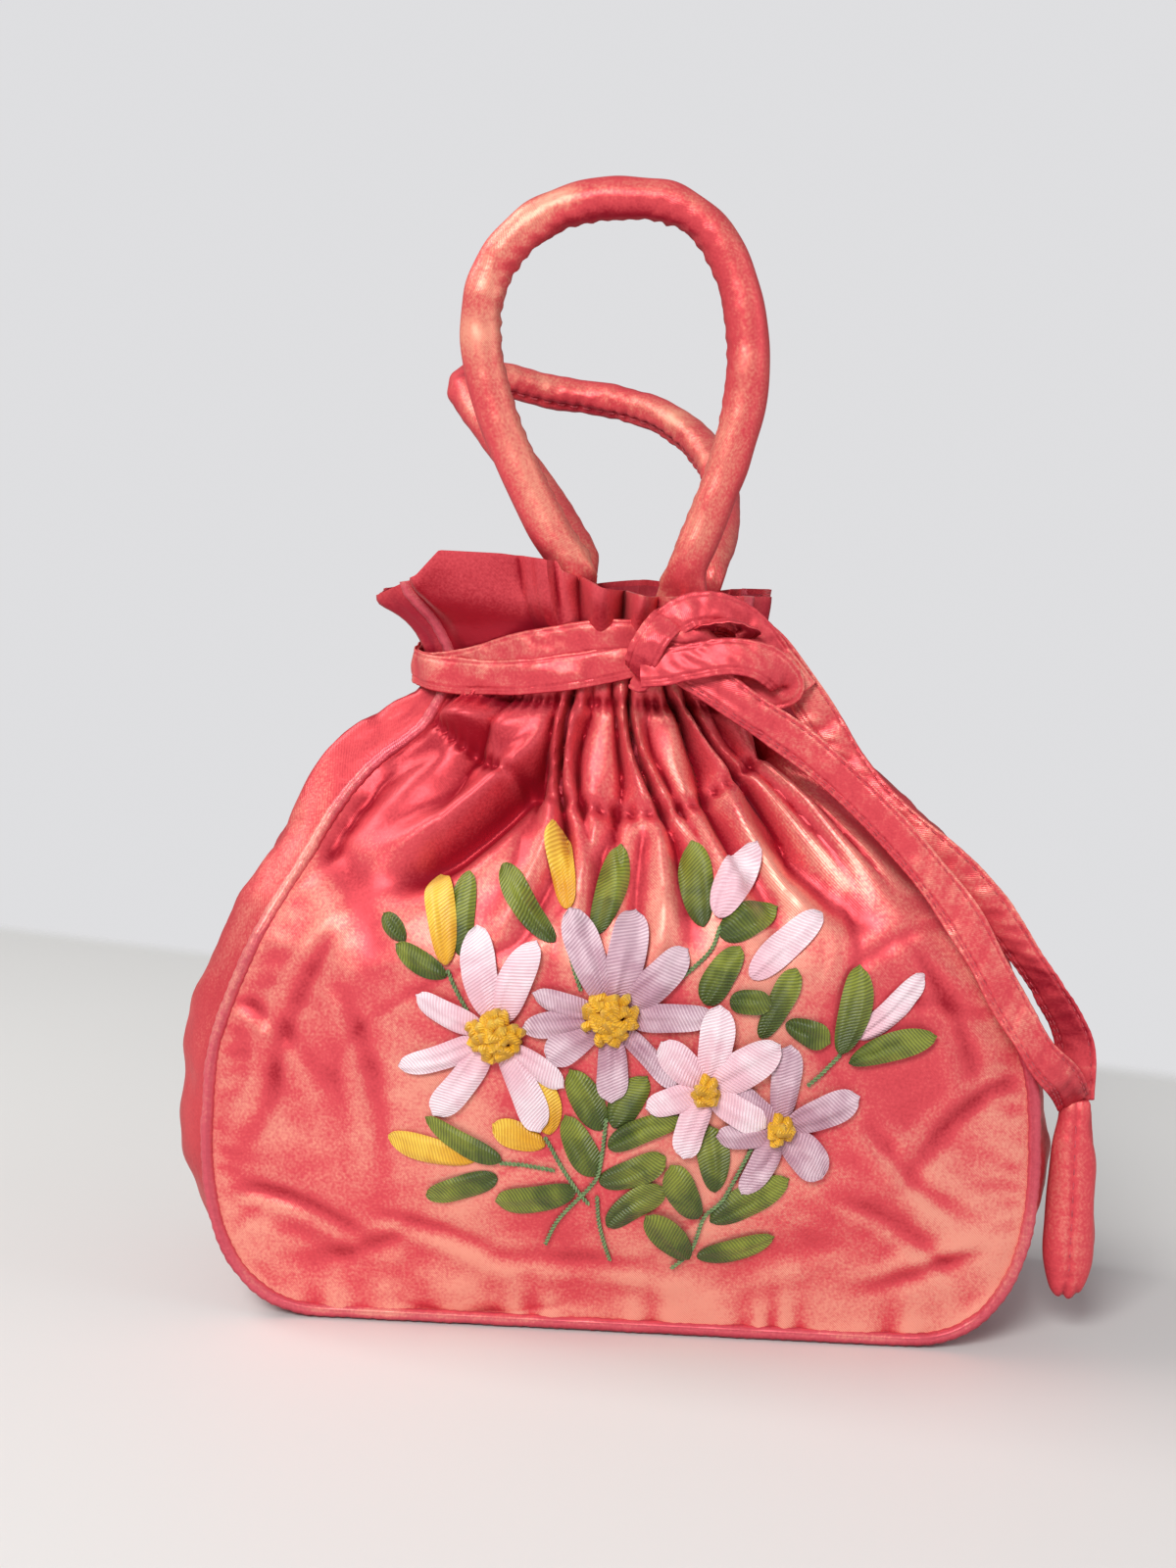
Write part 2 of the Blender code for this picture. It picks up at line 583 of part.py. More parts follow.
def make_drop(sides=12):
    """The stuffed drop that the two tails are sewn into, with a round top about its hinge."""
    turn = np.linspace(0, 2 * math.pi, sides, endpoint=False)
    top = np.r_[DROP_TOP_START, np.linspace(math.pi / 2, 0, 5)[1:-1]]
    below, full = np.array(DROP_PROFILE).T
    heights = np.r_[DROP_TOP_RADIUS * np.sin(top), -DROP_LENGTH * below]
    wide = np.r_[DROP_TOP_RADIUS * np.cos(top), DROP_HALF_WIDTH * full]
    deep = np.r_[DROP_TOP_RADIUS * DROP_TOP_FLATNESS * np.sqrt(np.cos(top)), DROP_HALF_DEPTH * full]
    x = DROP_PLACE[0] + wide[:, None] * np.cos(turn)
    y = DROP_PLACE[1] + deep[:, None] * np.sin(turn)
    z = np.repeat((DROP_HINGE_HEIGHT + heights)[:, None], sides, axis=1)
    drop = closed_rings("drop", np.stack([x, y, z], -1), CORAL, 0.35)
    move_origin((drop,), (*DROP_PLACE, DROP_HINGE_HEIGHT))
    return drop


def on_front(x, z, lift):
    """Points on the front panel's outer face, lifted off it along its normal."""
    step = 0.5 * MM
    slope_x = (front_depth(x + step, z) - front_depth(x - step, z)) / (2 * step)
    slope_z = (front_depth(x, z + step) - front_depth(x, z - step)) / (2 * step)
    scale = lift / np.sqrt(1 + slope_x**2 + slope_z**2)
    return np.stack([x - slope_x * scale, -front_depth(x, z) - scale, z - slope_z * scale], -1)


def make_stitch(name, stitch, colour, stations=6):
    """One satin-ribbon stitch: a leaf-shaped slip of ribbon lying on the front panel."""
    base_x, base_z, tip_x, tip_z, width, layer = stitch
    start, end = np.array((base_x, base_z)) * MM, np.array((tip_x, tip_z)) * MM
    along = np.linspace(0, 1, stations)
    middle = start + (end - start) * along[:, None]
    direction = (end - start) / np.linalg.norm(end - start)
    swell = np.sin(math.pi * (STITCH_START + STITCH_SPAN * along)) ** STITCH_ROUNDNESS
    half = width * MM / 2 * swell
    sideways = np.array((-direction[1], direction[0])) * half[:, None]
    plan = np.stack([middle - sideways, middle, middle + sideways], 1)
    lift = STITCH_GAP + layer * STITCH_LAYER
    low = on_front(plan[..., 0], plan[..., 1], lift)
    high = on_front(plan[..., 0], plan[..., 1], lift + STITCH_THICKNESS)
    return slab(name, low, high, colour, 0.3)


def daisy_outline(petals, notch):
    """The plan of a daisy round its centre, petal by petal, as x and z."""
    ordered = sorted(petals)
    turns = [petal[0] for petal in ordered] + [ordered[0][0] + 360]
    points = []
    for (angle, length, width), following in zip(ordered, turns[1:]):
        turn, middle = math.radians(angle), math.radians((angle + following) / 2)
        for reach, side in PETAL_SHAPE:
            along, sideways = reach * length, side * width
            x = along * math.cos(turn) - sideways * math.sin(turn)
            z = along * math.sin(turn) + sideways * math.cos(turn)
            points.append((x, z))
        points.append((notch * math.cos(middle), notch * math.sin(middle)))
    return np.array(points) * MM


def make_daisy(name, place, centre_radius, layer, petals, petal_colour):
    """A daisy's petals as one star-shaped slip, and its gathered centre on top."""
    middle = np.array(place) * MM
    outline = daisy_outline(petals, max(centre_radius * NOTCH_SHARE, NOTCH_LEAST))
    plan = np.stack([middle + outline * share for share in DAISY_RINGS])
    count = plan.shape[1]
    lift = STITCH_GAP + layer * STITCH_LAYER
    low = on_front(plan[..., 0], plan[..., 1], lift)
    high = on_front(plan[..., 0], plan[..., 1], lift + STITCH_THICKNESS)
    size = 3 * count
    edge = 2 * count
    faces = grid_faces(3, count, 0, True) + grid_faces(3, count, size, True)
    faces += [tuple(range(count)), tuple(range(size, size + count))]
    for j in range(count):
        k = (j + 1) % count
        faces.append((edge + j, edge + k, size + edge + k, size + edge + j))
    vertices = np.vstack([low.reshape(-1, 3), high.reshape(-1, 3)])
    finish_object(f"{name}_petals", mesh_from(name, vertices, faces), petal_colour, 0.3)
    turn = np.linspace(0, 2 * math.pi, 10, endpoint=False)
    base = lift + STITCH_THICKNESS + CLEARANCE
    rings = []
    for share, height in CENTRE_RINGS:
        x = middle[0] + centre_radius * MM * share * np.cos(turn)
        z = middle[1] + centre_radius * MM * share * np.sin(turn)
        rings.append(on_front(x, z, base + height * CENTRE_THICKNESS))
    closed_rings(f"{name}_centre", np.array(rings), YELLOW, 0.5)


def build():
    for old in list(bpy.data.objects):
        bpy.data.objects.remove(old)
    make_panel("front_panel", -1)
    make_panel("back_panel", 1)
    make_gusset()
    make_piping("front_piping", -1)
    make_piping("back_piping", 1)
    make_lining()
    make_handle("front_handle", FRONT_HANDLE, -1)
    make_handle("back_handle", BACK_HANDLE, 1)
    make_band()
    make_knot()
    make_bow_loop()
    make_tail("outer_tail", OUTER_TAIL, 40)
    make_tail("inner_tail", INNER_TAIL, 36)
    make_drop()
    for name, (place, radius, layer, petals) in DAISIES.items():
        colour = MAUVE if name in ("daisy_top", "daisy_right") else PALE_PINK
        make_daisy(name, place, radius, layer, petals, colour)
    for label, stitches, colour in (
        ("pale_bud", PALE_BUDS, PALE_PINK), ("yellow_bud", YELLOW_BUDS, YELLOW), ("leaf", LEAVES, GREEN)
    ):
        for number, stitch in enumerate(stitches, 1):
            make_stitch(f"{label}_{number}", stitch, colour)


build()
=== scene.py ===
# %% [markdown]
# A potli bag in one shared frame
# The real bag is a small pouch of shot satin, cut as two rounded panels and one long side strip, piped along
# both seams, gathered with two rows of running stitch at the neck and tied with a folded satin ribbon.
# Two padded straps stand up from the mouth, and the front is worked with daisies in narrow ribbon.
# Lengths below are millimetres until a mesh is made from them.

import json
import math

import bmesh
import bpy
import numpy as np
from mathutils import Matrix, Vector

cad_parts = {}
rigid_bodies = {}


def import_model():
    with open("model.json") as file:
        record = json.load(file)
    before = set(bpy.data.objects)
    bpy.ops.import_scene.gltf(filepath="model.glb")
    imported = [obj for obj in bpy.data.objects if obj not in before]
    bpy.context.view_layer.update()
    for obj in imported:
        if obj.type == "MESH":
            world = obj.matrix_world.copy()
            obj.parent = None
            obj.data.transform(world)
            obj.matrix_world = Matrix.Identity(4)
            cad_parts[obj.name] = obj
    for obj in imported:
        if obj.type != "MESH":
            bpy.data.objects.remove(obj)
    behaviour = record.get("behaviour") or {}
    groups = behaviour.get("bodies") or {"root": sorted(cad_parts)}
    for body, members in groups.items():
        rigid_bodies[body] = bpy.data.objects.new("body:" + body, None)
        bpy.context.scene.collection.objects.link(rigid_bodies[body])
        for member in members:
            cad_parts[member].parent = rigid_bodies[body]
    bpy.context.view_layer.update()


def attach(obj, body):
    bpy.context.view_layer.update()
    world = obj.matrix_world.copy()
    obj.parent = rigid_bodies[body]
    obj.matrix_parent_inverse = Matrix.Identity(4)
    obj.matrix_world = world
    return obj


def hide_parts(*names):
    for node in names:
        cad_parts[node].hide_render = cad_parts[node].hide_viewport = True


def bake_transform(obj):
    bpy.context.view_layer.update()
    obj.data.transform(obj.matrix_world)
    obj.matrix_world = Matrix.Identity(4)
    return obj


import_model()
MM = 0.001
DETAIL = 1.0

# %% [markdown]
# The camera
# It stands a little above the rim and to the right of the middle, looks slightly down and is turned by a
# degree and a half, which makes the upright edges of the photographed bag lean as they do. A camera could be
# aimed by a constraint, but its three directions are worked out here, because the floor's edge needs them.

# %% Camera
EYE = np.array((0.029, -0.590, 0.203))
YAW, PITCH, ROLL = np.radians((4.0, 6.24, 1.5))
FOCAL_PIXELS = 2240.0
PICTURE = (1200, 1600)
SENSOR = 36.0

level_right = np.array((math.cos(YAW), math.sin(YAW), 0.0))
forward = np.array((-math.sin(YAW) * math.cos(PITCH), math.cos(YAW) * math.cos(PITCH), -math.sin(PITCH)))
level_up = np.array((-math.sin(YAW) * math.sin(PITCH), math.cos(YAW) * math.sin(PITCH), math.cos(PITCH)))
camera_right = math.cos(ROLL) * level_right + math.sin(ROLL) * level_up
camera_up = math.cos(ROLL) * level_up - math.sin(ROLL) * level_right

camera_data = bpy.data.cameras.new("camera")
camera_data.lens = FOCAL_PIXELS / PICTURE[1] * SENSOR
camera_data.sensor_width = SENSOR
camera_data.sensor_fit = "AUTO"
camera = bpy.data.objects.new("camera", camera_data)
bpy.context.scene.collection.objects.link(camera)
turned = Matrix((camera_right, camera_up, -forward)).transposed().to_4x4()
camera.matrix_world = Matrix.Translation(Vector(EYE)) @ turned
bpy.context.scene.camera = camera
print(f"camera: lens {camera_data.lens:.1f} mm, {EYE[2] / MM:.0f} mm above the floor")


# %% A place in the picture, found on the floor
def seen_at(px, py):
    """The point on the floor that the camera sees at a place in the picture: its ray, run to height 0."""
    across = (px - PICTURE[0] / 2) / FOCAL_PIXELS
    down = (py - PICTURE[1] / 2) / FOCAL_PIXELS
    ray = forward + across * camera_right - down * camera_up
    return EYE - ray * EYE[2] / ray[2]


# %% [markdown]
# Curves and grids
# Cloth could be shaped by hand in sculpt mode, or left to fall in a simulation. Here every piece is a grid of
# points worked out from two parameters, and every ribbon, cord and strap is a closed section carried along a
# line, because a formula gives the same cloth each time and one number changes it. The same few helpers make
# all of them.


# %% Steps, curves and distances
def smooth(value):
    """Rises from 0 to 1 without a corner: three squares less two cubes."""
    t = np.clip(value, 0, 1)
    return t * t * (3 - 2 * t)


def bell(value):
    """A soft bump, 1 in its middle."""
    return np.exp(-np.square(value))


def grid_count(count):
    return max(4, int(count * DETAIL))


def curve_through(points, count):
    """A Catmull-Rom curve through the points, sampled at even distances."""
    p = np.asarray(points, float)
    p = np.vstack([2 * p[0] - p[1], p, 2 * p[-1] - p[-2]])
    t = np.linspace(0, 1, 12, endpoint=False)[:, None]
    runs = []
    for a, b, c, d in zip(p[:-3], p[1:-2], p[2:-1], p[3:]):
        cubic = (3 * b - a - 3 * c + d) * t**3 + (2 * a - 5 * b + 4 * c - d) * t**2
        runs.append(0.5 * (cubic + (c - a) * t + 2 * b))
    dense = np.vstack(runs + [p[-2:-1]])
    distance = distance_along(dense)
    wanted = np.linspace(0, distance[-1], count)
    return np.stack([np.interp(wanted, distance, axis) for axis in dense.T], axis=1)


def distance_along(line):
    """The distance from the first point to each point of a line."""
    return np.r_[0, np.cumsum(np.linalg.norm(np.diff(line, axis=0), axis=1))]


def unit(vectors):
    """The same directions with a length of one."""
    return vectors / np.linalg.norm(vectors, axis=-1, keepdims=True)


# %% Slack and grids
def waves(first, second, size, seed, count=7):
    """Slack in cloth: a seeded sum of slanted sine waves, from about -1 to 1, with features of this size."""
    random = np.random.default_rng(seed)
    turn = random.uniform(0, math.pi, count)
    pitch = 2 * math.pi / (size * random.uniform(0.6, 1.7, count))
    start = random.uniform(0, 2 * math.pi, count)
    slanted = np.multiply.outer(first, np.cos(turn)) + np.multiply.outer(second, np.sin(turn))
    return np.sin(slanted * pitch + start).sum(-1) / math.sqrt(count)


def quads(rows, columns, wrap):
    """The corner numbers of every quad over a grid; wrap joins its last column to its first."""
    i = np.arange(rows - 1)[:, None] * columns
    j = np.arange(columns if wrap else columns - 1)[None]
    k = (j + 1) % columns
    return np.stack([i + j, i + k, i + columns + k, i + columns + j], -1).reshape(-1, 4)


def cloth_normals(points):
    """The direction square to a grid at each of its points."""
    return unit(np.cross(np.gradient(points, axis=0), np.gradient(points, axis=1)))


# %% Closed skins
def tube(points, uv):
    """A closed skin over a stack of rings, with both ends filled; it is ready for make_piece."""
    rows, columns = points.shape[:2]
    ends = [list(range(columns)), list(range((rows - 1) * columns, rows * columns))]
    return points.reshape(-1, 3), quads(rows, columns, True).tolist() + ends, uv.reshape(-1, 2)


def slab(points, uv, thickness):
    """Cloth of this thickness behind a grid, with its four edges closed; it is ready for make_piece."""
    rows, columns = points.shape[:2]
    size = rows * columns
    behind = points - cloth_normals(points) * thickness
    faces = quads(rows, columns, False)
    edge = np.r_[
        np.arange(rows) * columns, (rows - 1) * columns + np.arange(1, columns),
        (np.arange(rows - 2, -1, -1) + 1) * columns - 1, np.arange(columns - 2, 0, -1),
    ]
    following = np.roll(edge, -1)
    rim = np.stack([edge, following, following + size, edge + size], -1)
    vertices = np.vstack([points.reshape(-1, 3), behind.reshape(-1, 3)])
    whole = np.vstack([faces, faces[:, ::-1] + size, rim])
    return vertices, whole.tolist(), np.vstack([uv.reshape(-1, 2)] * 2)


# %% [markdown]
# Pieces
# A finished piece is one mesh at the origin, with its place in its points, a UV map in millimetres for its
# weave, and a number at each point of painted light and shade: lighter by the way the cloth faces, more where
# it faces up, and as a painted highlight on crests, darker where it faces down and as painted shade deep in
# folds. That number could come from the angle of view, but then the colours would slide when the bag is
# turned. So it comes from the way the cloth faces, and from how deep each point lies in a fold.

# %% Folds and crests
HOLLOW_STEPS = max(2, int(14 * DETAIL**2))


def hollows(mesh, facing):
    """How far each point lies below the average of its surroundings, in millimetres: above 0 in a fold.

    The average is taken over the neighbours along the edges, then over theirs, as often as there are steps.
    """
    count = len(mesh.vertices)
    places = np.empty(count * 3, np.float32)
    mesh.vertices.foreach_get("co", places)
    ends = np.empty(len(mesh.edges) * 2, np.int32)
    mesh.edges.foreach_get("vertices", ends)
    first, second = ends.reshape(-1, 2).T
    degree = np.bincount(ends, minlength=count)
    places = places.reshape(-1, 3)
    average = places.astype(float)
    for _ in range(HOLLOW_STEPS):
        average = np.stack([
            (np.bincount(first, axis[second], count) + np.bincount(second, axis[first], count)) / degree
            for axis in average.T
        ], 1)
    return ((average - places) * facing).sum(1) / MM


# %% Make a piece
# Painted light from facing: how much lighter the cloth is painted where it faces sideways, and where it faces
# forwards or back
FACING_PAINTED_LIGHT = (0.78, 0.88, 0.0)
# Painted light from above: what facing up adds to it and facing down takes away
TOP_PAINTED_LIGHT = 0.4
# Painted shade and highlight: how much sooner a fold turns crimson as painted shade and a crest pale as a
# painted highlight, for each millimetre that it stands in or out
FOLD_PAINTED_SHADE = 0.6
FOLD_SHADE_LIMITS = (-0.2, 2.0)
SHARP_ANGLE = math.radians(60)


def make_piece(name, parts, material, body="root", stands_for=()):
    """One object in the shared frame from one or more skins, with the pieces' own UV map in millimetres."""
    vertices, faces, places, start = [], [], [], 0
    for points, corners, uv in parts:
        vertices.append(points)
        faces += [[corner + start for corner in face] for face in corners]
        places.append(uv)
        start += len(points)
    mesh = bpy.data.meshes.new(name)
    mesh.from_pydata((np.vstack(vertices) * MM).tolist(), [], faces)
    work = bmesh.new()
    work.from_mesh(mesh)
    bmesh.ops.recalc_face_normals(work, faces=work.faces)
    work.to_mesh(mesh)
    work.free()
    layer = mesh.uv_layers.new(name="UVMap")
    corner_of = np.empty(len(mesh.loops), np.int32)
    mesh.loops.foreach_get("vertex_index", corner_of)
    layer.data.foreach_set("uv", np.vstack(places)[corner_of].astype(np.float32).ravel())
    facing = np.empty(len(mesh.vertices) * 3, np.float32)
    mesh.vertex_normals.foreach_get("vector", facing)
    facing = facing.reshape(-1, 3)
    # Painted light and shade: lighter by facing and more where facing up, painted shade deep in folds,
    # painted highlight on crests
    painted_lightness = np.linalg.norm(facing * FACING_PAINTED_LIGHT, axis=1) + TOP_PAINTED_LIGHT * facing[:, 2]
    painted_lightness = painted_lightness - FOLD_PAINTED_SHADE * np.clip(hollows(mesh, facing), *FOLD_SHADE_LIMITS)
    painted_light = mesh.attributes.new("painted_light", "FLOAT", "POINT")
    painted_light.data.foreach_set("value", painted_lightness.astype(np.float32))
    mesh.shade_smooth()
    mesh.set_sharp_from_angle(angle=SHARP_ANGLE)
    mesh.materials.append(material)
    piece = bpy.data.objects.new(name, mesh)
    bpy.context.scene.collection.objects.link(piece)
    if body:
        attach(piece, body)
    if stands_for:
        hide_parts(*stands_for)
    print(f"{name}: {len(faces)} faces")
    return piece


# %% Carry a section along a line
def sweep(line, across, thick, section):
    """A section, given as (stations, points, 2) distances along across and thick, carried along a line."""
    points = line[:, None] + across[:, None] * section[..., 0:1] + thick[:, None] * section[..., 1:2]
    around = distance_along(section[0])
    uv = np.stack(np.meshgrid(distance_along(line), around, indexing="ij"), -1)
    return tube(points, uv)


# %% [markdown]
# Finishes
# Its warp and weft are dyed differently, and its colour is painted in three reds: a deep crimson as painted
# shade where it turns away and in folds, coral on the flats and peach as a painted highlight on the crests.
# A picture of satin would repeat and would keep one scale, so the patches, the fine diagonal rib and the
# small crinkles are all worked out from the cloth's own place. The sums on them are written as Python sums,
# which read more easily than wires between nodes.


# %% Shader sums
class Wire:
    """A shader value that can be used in ordinary sums: each sum adds one Math node."""

    def __init__(self, tree, socket):
        self.tree = tree
        self.socket = socket

    def sum_of(self, operation, *terms):
        """The Math node of this operation on the terms, each of them a wire or a number."""
        node = self.tree.nodes.new("ShaderNodeMath")
        node.operation = operation
        for place, term in zip(node.inputs, terms):
            feed(self.tree, place, term)
        return Wire(self.tree, node.outputs[0])

    def __add__(self, other):
        return self.sum_of("ADD", self, other)

    def __sub__(self, other):
        return self.sum_of("SUBTRACT", self, other)

    def __rsub__(self, other):
        return self.sum_of("SUBTRACT", other, self)

    def __mul__(self, other):
        return self.sum_of("MULTIPLY", self, other)

    def __truediv__(self, other):
        return self.sum_of("DIVIDE", self, other)

    __radd__ = __add__
    __rmul__ = __mul__

    def sine(self):
        return self.sum_of("SINE", self)

    def clamped(self):
        """The same value, kept between 0 and 1."""
        return self.sum_of("MINIMUM", self.sum_of("MAXIMUM", self, 0.0), 1.0)

    def step(self, low, high):
        """Rises from 0 at low to 1 at high without a corner."""
        t = ((self - low) / (high - low)).clamped()
        return t * t * (3 - 2 * t)


def feed(tree, place, term):
    """Links a wire to a socket, or sets the socket's own value."""
    if isinstance(term, Wire):
        tree.links.new(term.socket, place)
    else:
        place.default_value = term


# %% A material, one node at a time
class Finish:
    """A material built one node at a time on its surface shader."""

    def __init__(self, name, **values):
        self.material = bpy.data.materials.new(name)
        self.material.use_nodes = True
        self.tree = self.material.node_tree
        self.shader = self.tree.nodes["Principled BSDF"]
        for label, value in values.items():
            self.shader.inputs[label.replace("_", " ")].default_value = value

    def node(self, kind, settings, sockets, output=0):
        """Adds a node: its type, then its settings, then its socket values or links."""
        node = self.tree.nodes.new(kind)
        for label, value in settings.items():
            setattr(node, label, value)
        for label, value in sockets.items():
            feed(self.tree, node.inputs[label], value)
        return Wire(self.tree, node.outputs[output])

    def place(self, kind="Object"):
        """Object coordinates in metres, or the UV map in millimetres."""
        return self.node("ShaderNodeTexCoord", {}, {}, kind)

    def parts_of(self, vector):
        """The three numbers of a vector."""
        node = self.tree.nodes.new("ShaderNodeSeparateXYZ")
        feed(self.tree, node.inputs[0], vector)
        return [Wire(self.tree, output) for output in node.outputs]

    def noise(self, vector, scale, detail=2.0, distortion=0.0):
        """Soft noise from 0 to 1 with features of one over scale."""
        values = {"Vector": vector, "Scale": scale, "Detail": detail, "Distortion": distortion}
        return self.node("ShaderNodeTexNoise", {}, values)

    def mix(self, share, first, second):
        """The first colour, going over to the second by the share."""
        node = self.tree.nodes.new("ShaderNodeMix")
        node.data_type = "RGBA"
        feed(self.tree, node.inputs[0], share)
        feed(self.tree, node.inputs[6], first)
        feed(self.tree, node.inputs[7], second)
        return Wire(self.tree, node.outputs[2])

    def colour(self, wire):
        feed(self.tree, self.shader.inputs["Base Color"], wire)

    def roughness(self, wire):
        feed(self.tree, self.shader.inputs["Roughness"], wire)

    def bump(self, height, depth, strength):
        """Raises the surface by the height, in metres of depth."""
        values = {"Height": height, "Distance": depth, "Strength": strength}
        feed(self.tree, self.shader.inputs["Normal"], self.node("ShaderNodeBump", {}, values))


# %% Colours
def linear_colour(code):
    """Red, green and blue written in hexadecimal, turned into the values that light adds up in."""
    parts = np.array([int(code[i:i + 2], 16) for i in (0, 2, 4)]) / 255
    linear = np.where(parts <= 0.04045, parts / 12.92, ((parts + 0.055) / 1.055) ** 2.4)
    return (*linear.tolist(), 1.0)


# %% Shot satin
SATIN_RIB = 0.62
STREAK_TURN = (0.0, math.radians(28), 0.0)
STREAK_SCALE = (1.0, 1.0, 0.42)


# The first colour is painted shade, the second the cloth's coral and the third a painted highlight
def satin(name, deep, middle, painted_highlight, patch=14.0, crinkle=1.0, turn_at=0.84, low=0.0):
    """Shot satin: deep crimson as painted shade where its painted light is low, coral where it is middling,
    and peach as a painted highlight where it is high.

    The painted light is the piece's own, moved by broad random streaks, their ragged edges and a fine grain;
    low raises it near the base and lowers it above the flowers. A sine across the UV map gives the diagonal
    rib.
    """
    finish = Finish(name, Metallic=0.3, Anisotropic=0.5, Sheen_Weight=0.05, Sheen_Roughness=0.4)
    finish.shader.inputs["Sheen Tint"].default_value = linear_colour("FFC8B4")
    finish.shader.inputs["Specular Tint"].default_value = linear_colour("F8B09C")
    finish.shader.inputs["Specular IOR Level"].default_value = 0.4
    place = finish.place()
    first, second, _ = finish.parts_of(finish.place("UV"))
    streaked = finish.node("ShaderNodeMapping", {}, {"Vector": place})
    streaked.socket.node.inputs["Rotation"].default_value = STREAK_TURN
    streaked.socket.node.inputs["Scale"].default_value = STREAK_SCALE
    broad = finish.noise(streaked, patch, 2.0, 0.9)
    edges = finish.noise(streaked, patch * 6, 2.0, 0.4)
    grain = finish.noise(place, 1400.0, 1.0)
    # The painted light and shade baked on each piece
    painted_light = finish.node("ShaderNodeAttribute", {"attribute_name": "painted_light"}, {}, "Fac")
    rib = ((first + second) * (2 * math.pi / SATIN_RIB)).sine()
    height = finish.parts_of(place)[2]
    # The painted light and shade, moved by random streaks, ragged edges, grain and height
    turned = painted_light + (broad - 0.5) * 1.15 + (edges - 0.5) * 0.3 + (grain - 0.5) * 0.5
    turned = turned + (1 - height.step(0.0, 0.1)) * low - height.step(0.115, 0.145) * low
    # Deep crimson as painted shade where it is low, going over to coral
    colour = finish.mix(turned.step(turn_at - 0.8, turn_at), linear_colour(deep), linear_colour(middle))
    # Peach as a painted highlight where it is high, broken by the rib
    painted_lightness = turned.step(turn_at - 0.12, turn_at + 0.4)
    finish.colour(finish.mix((painted_lightness * (0.86 + rib * 0.3)).clamped(), colour, linear_colour(painted_highlight)))
    finish.roughness(0.3 + 0.12 * edges + 0.05 * rib)
    crinkles = finish.noise(place, 260.0, 2.0, 0.4)
    finish.bump(rib * 0.06 + crinkles * crinkle, 0.00022, 0.7)
    return finish.material


# %% Embroidery ribbon and thread
RIBBON_RIB = 0.85


def ribbon_satin(name, base, tip, shade, length=22.0):
    """Narrow embroidery ribbon: one colour at its base, another at its tip, and a darker colour as painted
    shade in the grooves of its ribs and in random cloudy patches.

    The share of the tip's colour is the distance from the base over the length, moved by soft noise, and the
    ribs are a sine on a slant across the UV map.
    """
    finish = Finish(name, Sheen_Weight=0.12, Anisotropic=0.5)
    first, second, _ = finish.parts_of(finish.place("UV"))
    cloud = finish.noise(finish.place(), 160.0, 2.0, 0.5)
    share = (first / length + (cloud - 0.5) * 0.9).step(0.1, 0.9)
    ribs = ((first + 0.45 * second) * (2 * math.pi / RIBBON_RIB)).sine()
    colour = finish.mix(share, linear_colour(base), linear_colour(tip))
    # Painted shade in the grooves of the ribs, and darker at random where the noise is low
    shaded = (0.3 - ribs * 0.3 + (0.5 - cloud) * 0.8).clamped()
    finish.colour(finish.mix(shaded, colour, linear_colour(shade)))
    finish.roughness(0.3 + 0.2 * cloud)
    finish.bump(ribs * 0.5 + cloud, 0.0002, 0.8)
    return finish.material


def thread_finish(name, code):
    """Twisted thread: one colour, and six tenths of it in the shade of its fibres."""
    finish = Finish(name, Sheen_Weight=0.2)
    cloud = finish.noise(finish.place(), 900.0)
    colour = linear_colour(code)
    shade = (*(0.6 * channel for channel in colour[:3]), 1.0)
    finish.colour(finish.mix(cloud.step(0.3, 0.7), colour, shade))
    finish.roughness(0.55 + 0.15 * cloud)
    return finish.material


# %% The bag's finishes
# In each satin: painted shade, the cloth's own colour, then a painted highlight
pouch_satin = satin("shot satin", "A0182C", "DE505A", "F4A892", low=0.24, turn_at=0.86)
side_satin = satin("side satin", "A41C34", "D04850", "EC9684", patch=30.0, turn_at=1.25)
tie_satin = satin("tie satin", "A82036", "DE4E58", "F29C8A", patch=24.0, crinkle=0.7, turn_at=0.98)
piping_satin = satin("piping satin", "AC3046", "D45A68", "F0A08E", patch=30.0, crinkle=0.6, turn_at=1.05)
strap_satin = satin("strap satin", "A81E34", "DE4E56", "F4A68C", patch=30.0, turn_at=0.92)
lining_cloth = satin("lining cloth", "8C2434", "A83444", "C05058", patch=20.0, crinkle=0.5)
sewing_thread = thread_finish("sewing thread", "D84A58")
stem_thread = thread_finish("stem thread", "7C9860")
gold_ribbon = ribbon_satin("gold ribbon", "F4B81E", "FCD450", "C8860E", 4.0)
pale_ribbon = ribbon_satin("pale ribbon", "F2C0CC", "F8E8EE", "D8A4B4")
mauve_ribbon = ribbon_satin("mauve ribbon", "C494A4", "E8CCD6", "9C6C84")
yellow_ribbon = ribbon_satin("yellow ribbon", "E8A81C", "FBD04A", "C07C10", 16.0)
green_ribbon = ribbon_satin("green ribbon", "4A5A0E", "8C942E", "1E2A06", 18.0)
print(len(bpy.data.materials), "materials in the scene")

# %% [markdown]
# The shape under the cloth
# A filled pouch could be blown up from a flat pattern, but the visual bag has to keep to the solid parts. So
# these are the measurements that the solid parts were built from: the outline of the seam from base to rim,
# how far the seams stand from the middle, and how far the panels and the side strip swell. The left strip
# swells 4 mm less than its solid, because the real bag is slimmer there.

# %% Measurements and base shape
HALF_WIDTH = 106.5
WIDEST_HEIGHT = 50.0
BASE_HALF = 74.0
SEAM_HEIGHT = 2.0
NECK_HALF = 43.0
NECK_HEIGHT = 165.0
RIM_HALF = 47.0
RIM_HEIGHT = 192.0
HALF_DEPTH = 40.0
NECK_SEAM_DEPTH = 13.0
PANEL_BULGE = 13.0
LEFT_BULGE = 11.0
RIGHT_BULGE = 5.0
NECK_BULGE = 7.0
NECK_LEAN = -6.5
CORNER_FULLNESS = 2.5
SHOULDER = ((0.0, 1.0), (0.2, 0.965), (0.45, 0.79), (0.67, 0.555), (0.8, 0.335), (0.9, 0.105), (1.0, 0.0))
CLOTH = 0.9
PIPING_RADIUS = 1.6


